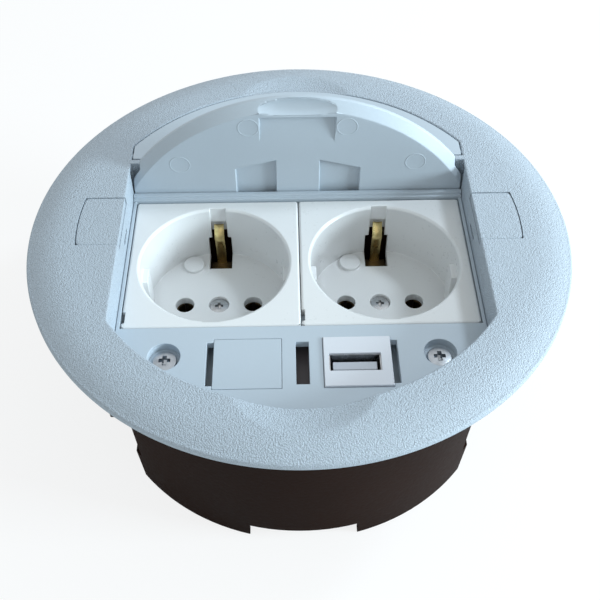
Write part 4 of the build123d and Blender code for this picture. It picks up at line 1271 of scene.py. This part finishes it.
@dataclass(frozen=True)
class CrossScrew:
    """A pan-head screw with a cross recess and a thread, upright, its head's underside at Z = 0."""

    head_r: float
    head_t: float
    sunk: float  # the head's top, below the top of its node's box
    shank_r: float
    pitch: float
    arm: float  # reach of the recess from the axis
    slot: float  # half width of an arm of the recess
    depth: float  # of the recess in its middle
    dome: float  # how much lower the head's rim is than its middle
    taper: float = 0.3  # share of its depth that the recess loses along an arm
    side_slope: float = 0.1  # width of the recess's sloping sides
    end_slope: float = 0.25  # length of its arms' sloping ends
    recess_span: Pair = (1.15, 1.2)  # the fine rows end, and the coarse ones start, at this many arms
    rim_share: float = 0.8  # radius of the head's rounded rim, of the dome
    rim_angle: float = 80.0  # degrees; where the rim's arc leaves the dome
    rim_chamfer: float = 0.12
    cover: float = 0.15  # metal left under the recess
    neck_share: float = 0.9  # radius of the neck, of the shank's
    start_share: float = 0.8  # radius of the shank where it starts in the neck
    tip_share: float = 0.45  # radius of the tip's flat end
    tip_length: float = 0.4  # of the shank's radius
    thread_share: float = 0.45  # depth of the thread, of the pitch
    head_columns: int = 112
    head_rows: tuple[int, int] = (44, 8)  # fine and coarse
    shank_columns: int = 36
    turn_rows: int = 6  # rows for each turn of the thread

    @property
    def neck(self) -> float:
        """Length of the plain neck that has the recess's foot in it."""
        return self.depth - self.head_t + self.cover

    def head(self) -> Surface:
        """The head on its plain neck: a dome turned about Z, less a cross-shaped recess.

        The recess is depth times a mask, which is 1 where a point lies within an arm's half width
        of the X or Y axis and nearer than its reach, with smooth sides.

        Returns:
            The closed surface.
        """
        angle = full_turn(self.head_columns)
        rim = self.dome * self.rim_share
        flat_r = self.head_r - rim
        fine = np.linspace(0, self.arm * self.recess_span[0], self.head_rows[0])
        coarse = np.linspace(self.arm * self.recess_span[1], flat_r, self.head_rows[1])
        radius = np.concatenate((fine, coarse))[:, None]
        x, y = radius * np.cos(angle), radius * np.sin(angle)
        mask = np.zeros_like(x)
        for along, across in ((x, y), (y, x)):
            inside = smooth_step((self.slot - np.abs(across)) / self.side_slope + 0.5)
            mask = np.maximum(mask, inside * smooth_step((self.arm - np.abs(along)) / self.end_slope))
        taper = 1 - self.taper * np.clip(radius / self.arm, 0, 1)
        z = self.head_t - self.dome * (radius / self.head_r) ** 2 - self.depth * taper * mask
        rim_z = self.head_t - self.dome * (flat_r / self.head_r) ** 2 - rim
        neck_r = self.neck_share * self.shank_r
        under = ((self.head_r, self.rim_chamfer), (self.head_r - self.rim_chamfer, 0), (neck_r, 0))
        neck = ((neck_r, -self.neck), (0, -self.neck))
        below = np.concatenate((rounded_corner((flat_r, rim_z), rim, self.rim_angle, 0), under, neck))
        turned = around_z(below[:, 0:1], angle, below[:, 1:2])
        return Surface.from_grid(np.concatenate((np.stack((x, y, z), axis=-1), turned)))

    def shank(self, length: float) -> Surface:
        """The shank: radius r - d t(z / pitch - a / 360), where t is a triangle wave, turned about Z.

        Args:
            length: From the head's underside to the tip.

        Returns:
            The closed surface, from inside the neck to the tip.
        """
        angle = full_turn(self.shank_columns)
        start = self.cover / 2 - self.neck
        rows = int(length / self.pitch * self.turn_rows)
        z = np.linspace(start, self.shank_r * self.tip_length - length, rows)[:, None]
        phase = z / self.pitch - angle / (2 * math.pi)
        wave = np.abs(2 * (phase - np.floor(phase)) - 1)
        thread = around_z(self.shank_r - self.thread_share * self.pitch * wave, angle, z)
        ends = np.array(((0, start), (self.start_share, start), (self.tip_share, -length), (0, -length)))
        rings = around_z(self.shank_r * ends[:, 0:1], angle, ends[:, 1:2])
        return Surface.from_grid(np.concatenate((rings[:2], thread, rings[2:])))

    def lay(self, shop: Workshop, node: str, finish: Finish) -> None:
        """Lays the screw where its node is.

        Args:
            shop: The workshop.
            node: The node's name.
            finish: Its finish.
        """
        box = Extent.of(node)
        seat_z = box.high[2] - self.sunk - self.head_t
        screw = self.head().joined(self.shank(seat_z - box.low[2]))
        piece = form(screw.moved(box.centre[0], box.centre[1], seat_z), f"{node}_turned")
        shop.publish(piece, node, finish)


@dataclass(frozen=True)
class EarthClip:
    """One sprung arm of the earth bracket: a narrow strip, bowed across, that leans into the recess."""

    width: float = 2.7
    thickness: float = 0.6
    bow: float = 0.4  # how far its middle stands out from its edges
    heights: tuple[float, ...] = (-0.4, 6.0, 11.2, 14.9)  # of its bends, above the bracket's plate
    radii: tuple[float, ...] = (18.9, 18.9, 17.7, 19.9)  # of its bends, from the recess's axis
    rows: int = 64
    columns: int = 11
    mean_rows: int = 9  # how many rows the running mean takes in

    def surface(self, hand: int) -> Surface:
        """The strip: a bowed section carried along a bent path.

        The path's radius is read off between the bends and then evened out by a running mean. At
        each height the section's points lie b (1 - u^2) inwards of the path, for u from -1 to 1 across
        the strip, and the same less the thickness behind it.

        Args:
            hand: 1 for the arm towards +Y, -1 for the one towards -Y.

        Returns:
            The closed surface, with the recess's axis at X = Y = 0.
        """
        height = np.linspace(self.heights[0], self.heights[-1], self.rows)
        bent = np.pad(np.interp(height, self.heights, self.radii), self.mean_rows // 2, mode="edge")
        even = np.convolve(bent, np.full(self.mean_rows, 1 / self.mean_rows), mode="valid")
        slope = np.gradient(even, height)
        length = np.hypot(slope, 1.0)
        across = np.linspace(-1, 1, self.columns)
        front = self.bow * (1 - across**2)
        inward = np.concatenate((front, front[::-1] - self.thickness))
        x = np.concatenate((across, across[::-1])) * self.width / 2
        radius = even[:, None] - inward / length[:, None]
        z = height[:, None] + inward * (slope / length)[:, None]
        grid = np.stack((np.broadcast_to(x, radius.shape), hand * radius, z), axis=-1)
        return Surface.from_grid(grid).capped(*grid.shape[:2])


@dataclass
class SocketModule(Assembly):
    """One socket: housing, base block, contacts, earth bracket and screws."""

    side: Side
    plate_top: float = 32.45  # the earth bracket is wide up to here and narrow above
    clip: EarthClip = EarthClip()
    screw: CrossScrew = CrossScrew(
        head_r=2.6, head_t=0.7, sunk=0.6, shank_r=1.45, pitch=0.8, arm=1.15, slot=0.34, depth=1.3, dome=0.2
    )

    def build(self) -> None:
        """Lays this side's pieces."""
        word = self.side.word
        self.shop.soften(f"{word}_socket_housing", WHITE, Edge.MOULDED)
        self.shop.soften(f"{word}_socket_base", BASE, Edge.MOULDED)
        # the contacts' dark brass is partly tarnish and mostly painted shade
        self.shop.soften(f"{word}_line_contact", SHADE_DARKENED_BRASS, Edge.CRISP)
        self.shop.soften(f"{word}_neutral_contact", SHADE_DARKENED_BRASS, Edge.CRISP)
        self.earth_bracket()
        self.screw.lay(self.shop, f"{word}_centre_screw", STEEL)
        self.shop.soften(f"{word}_terminal_screws", STEEL, Edge.FINE)

    def earth_bracket(self) -> None:
        """Lays the bracket's plate, with its arms cut away, and the two formed clips in their place."""
        node = f"{self.side.word}_earth_bracket"
        box = Extent.of(node)
        low, high = box.low - PAST, box.high + PAST
        arms = slab((low[0], low[1], self.plate_top), tuple(high))
        # the plate's dark brass is partly tarnish and mostly painted shade
        self.shop.soften(node, SHADE_DARKENED_BRASS, Edge.CRISP, [(arms, Step.CUT)])
        holes = [self.shop.mounts[f"{self.side.word}_{pin}_pin_hole"] for pin in ("line", "neutral")]
        middle = (holes[0] + holes[1]) / 2
        clips = [self.clip.surface(hand).moved(middle[0], middle[1], self.plate_top) for hand in (-1, 1)]
        piece = form(clips[0].joined(clips[1]), f"{node}_clips")
        self.shop.publish(piece, node, BRASS, replace=False)


@dataclass
class ClampSet(Assembly):
    """One clamp: screw, nut and claw."""

    side: Side
    screw: CrossScrew = CrossScrew(
        head_r=3.0, head_t=1.05, sunk=1.05, shank_r=2.0, pitch=0.7, arm=1.45, slot=0.46, depth=1.9, dome=0.3
    )

    def build(self) -> None:
        """Lays this side's clamp."""
        word = self.side.word
        self.screw.lay(self.shop, f"{word}_clamp_screw", ZINC)
        self.shop.soften(f"{word}_clamp_nut", STEEL, Edge.CRISP)
        self.shop.soften(f"{word}_clamp_claw", CLAW, Edge.MOULDED)


@dataclass
class Cup(Assembly):
    """The cup with its grommet and the lid's pocket."""

    def build(self) -> None:
        """Lays the cup's pieces."""
        self.shop.soften("cup", DARK, Edge.MOULDED)
        self.shop.soften("cable_grommet", RUBBER, Edge.FINE)
        self.shop.soften("lid_pocket", DARK, Edge.MOULDED)
        self.shop.soften("pocket_screws", STEEL, Edge.FINE)


@dataclass
class Wiring(Assembly):
    """The three link wires between the sockets."""

    radius: float = 1.25
    bend: float = 2.6  # radius of its arcs
    arc_steps: int = 14
    run_steps: int = 30
    columns: int = 28  # points round the section

    def tube(self, box: Extent) -> Surface:
        """A round wire that goes down, across and up again, with an arc at each corner.

        A point of its section at angle b lies r cos b off the path in the path's plane, and r sin b
        off that plane.

        Args:
            box: The wire's extent.

        Returns:
            The closed surface, with the place round the section kept for its stripe.
        """
        left_x, right_x = box.low[0] + self.radius, box.high[0] - self.radius
        lane_z, end_z = box.low[2] + self.radius, box.high[2]
        arc_z = lane_z + self.bend
        left = rounded_corner((left_x + self.bend, arc_z), self.bend, 180, 270, self.arc_steps)
        right = rounded_corner((right_x - self.bend, arc_z), self.bend, 270, 360, self.arc_steps)
        run = np.linspace(left[-1], right[0], self.run_steps)[1:-1]
        path = np.concatenate(([(left_x, end_z)], left, run, right, [(right_x, end_z)]))
        along = np.gradient(path, axis=0)
        along /= np.linalg.norm(along, axis=1)[:, None]
        angle = full_turn(self.columns)
        out, over = self.radius * np.cos(angle), self.radius * np.sin(angle)
        x = path[:, 0:1] + along[:, 1:2] * out
        z = path[:, 1:2] - along[:, 0:1] * out
        grid = np.stack((x, np.broadcast_to(box.centre[1] + over, x.shape), z), axis=-1)
        surface = Surface.from_grid(grid).capped(*grid.shape[:2])
        surface.around = np.tile(np.abs(angle / math.pi - 1), len(path))
        return surface

    def build(self) -> None:
        """Lays each wire where its node is."""
        for node, finish in (("line_wire", BROWN), ("neutral_wire", BLUE), ("earth_wire", GREEN)):
            piece = form(self.tube(Extent.of(node)), f"{node}_insulation")
            self.shop.publish(piece, node, finish)


@dataclass(frozen=True)
class Lamp:
    """A square lamp that faces a point."""

    name: str
    place: Triple  # mm
    size: float  # its side, mm
    power: float  # watts
    colour: Colour

    def hang(self, target: Triple) -> None:
        """Hangs the lamp.

        Args:
            target: The point that it faces, in millimetres.
        """
        data = bpy.data.lights.new(self.name, "AREA")
        data.size = self.size * MM
        data.energy = self.power
        data.color = self.colour
        lamp = linked(self.name, data)
        lamp.location = [value * MM for value in self.place]
        aim = np.array(target) - self.place
        flat = math.hypot(aim[0], aim[1])
        lamp.rotation_euler = (math.atan2(flat, -aim[2]), 0, math.atan2(-aim[0], aim[1]))


@dataclass
class Studio:
    """Pale floor, soft lamps, white surroundings and the camera."""

    camera_place: Triple = (-3.2, -159.8, 221.8)
    camera_tilt: float = 39.97  # degrees from straight down
    camera_turn: float = -1.21  # degrees about Z
    lens: float = 51.99
    sensor: float = 36.0
    nearest: float = 0.01  # metres; the camera sees nothing nearer
    lamps: tuple[Lamp, ...] = (
        Lamp("window", (300.0, 95.0, 420.0), 70.0, 0.9, (0.77, 0.895, 1.0)),
        Lamp("low_window", (620.0, -150.0, 240.0), 190.0, 5.4, (0.76, 0.92, 1.0)),
    )
    lamp_target: Triple = (0.0, 0.0, 60.0)
    dome_light: float = 0.64
    dome_colour: Colour = (0.905, 0.985, 1.0)
    white: Colour = (1.0, 1.0, 1.0)
    floor_half: float = 1500.0
    floor_colour: Colour = (0.86, 0.87, 0.88)
    floor_white: float = 0.8  # share of plain white that the camera sees in the floor
    floor_glow: float = 1.02  # strength of that white

    def outside_light(self, graph: Graph) -> Signal:
        """Mask of the rays that see plain white: camera rays, mirrored rays and see-through rays.

        Args:
            graph: The graph that the nodes go into.

        Returns:
            1 for such a ray, 0 for one that gathers soft light.
        """
        path = graph.add("ShaderNodeLightPath")
        seen = Signal(graph, path.outputs["Is Camera Ray"])
        for kind in ("Is Glossy Ray", "Is Transmission Ray"):
            seen = seen.maximum(Signal(graph, path.outputs[kind]))
        return seen

    def world(self) -> None:
        """Makes the surroundings plain white to look at, and a soft light on the object."""
        world = bpy.data.worlds.new("surroundings")
        bpy.context.scene.world = world
        world.use_nodes = True
        graph = Graph(world.node_tree)
        mask = self.outside_light(graph)
        strength = mask * (1 - self.dome_light) + self.dome_light
        colour = graph.blend(mask, self.dome_colour, self.white)
        background = graph.add("ShaderNodeBackground", {}, {"Color": colour, "Strength": strength})
        graph.add("ShaderNodeOutputWorld", {}, {"Surface": background.outputs[0]})

    def floor_material(self) -> bpy.types.Material:
        """Matt floor with a share of plain white for the camera, so that the shadow still shows.

        Returns:
            The material.
        """
        material = bpy.data.materials.new("pale_floor")
        material.use_nodes = True
        graph = Graph(material.node_tree)
        path = graph.add("ShaderNodeLightPath")
        seen = Signal(graph, path.outputs["Is Camera Ray"]) * self.floor_white
        matt = graph.add("ShaderNodeBsdfDiffuse", {}, {"Color": (*self.floor_colour, 1.0)})
        glow = {"Color": (*self.white, 1.0), "Strength": self.floor_glow}
        white = graph.add("ShaderNodeEmission", {}, glow)
        mixed = graph.add("ShaderNodeMixShader", {}, {0: seen, 1: matt.outputs[0], 2: white.outputs[0]})
        graph.add("ShaderNodeOutputMaterial", {}, {"Surface": mixed.outputs[0]})
        return material

    def floor(self) -> None:
        """Lays a pale floor that keeps the object's shadow."""
        square = np.array(((-1, -1, 0), (1, -1, 0), (1, 1, 0), (-1, 1, 0))) * self.floor_half * MM
        mesh = bpy.data.meshes.new("floor")
        mesh.from_pydata(square.tolist(), [], [(0, 1, 2, 3)])
        mesh.materials.append(self.floor_material())
        linked("floor", mesh)

    def camera(self) -> None:
        """Sets the camera where the picture was taken from."""
        data = bpy.data.cameras.new("camera")
        data.lens = self.lens
        data.sensor_width = self.sensor
        data.clip_start = self.nearest
        camera = linked("camera", data)
        camera.location = [value * MM for value in self.camera_place]
        camera.rotation_euler = (math.radians(self.camera_tilt), 0, math.radians(self.camera_turn))
        bpy.context.scene.camera = camera

    def build(self) -> None:
        """Sets up the whole studio."""
        self.world()
        self.floor()
        for lamp in self.lamps:
            lamp.hang(self.lamp_target)
        self.camera()
        bpy.context.scene.view_settings.view_transform = "Standard"


def main() -> None:
    """Lays every sub-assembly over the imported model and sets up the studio."""
    logging.basicConfig(level=logging.INFO, format="%(message)s")
    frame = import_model()
    shop = Workshop(frame)
    TrimRing(shop).build()
    LidAndFlap(shop).build()
    FrontPanel(shop).build()
    for side in Side:
        SocketModule(shop, side).build()
        ClampSet(shop, side).build()
    Cup(shop).build()
    Wiring(shop).build()
    Studio().build()


if __name__ == "__main__":
    main()
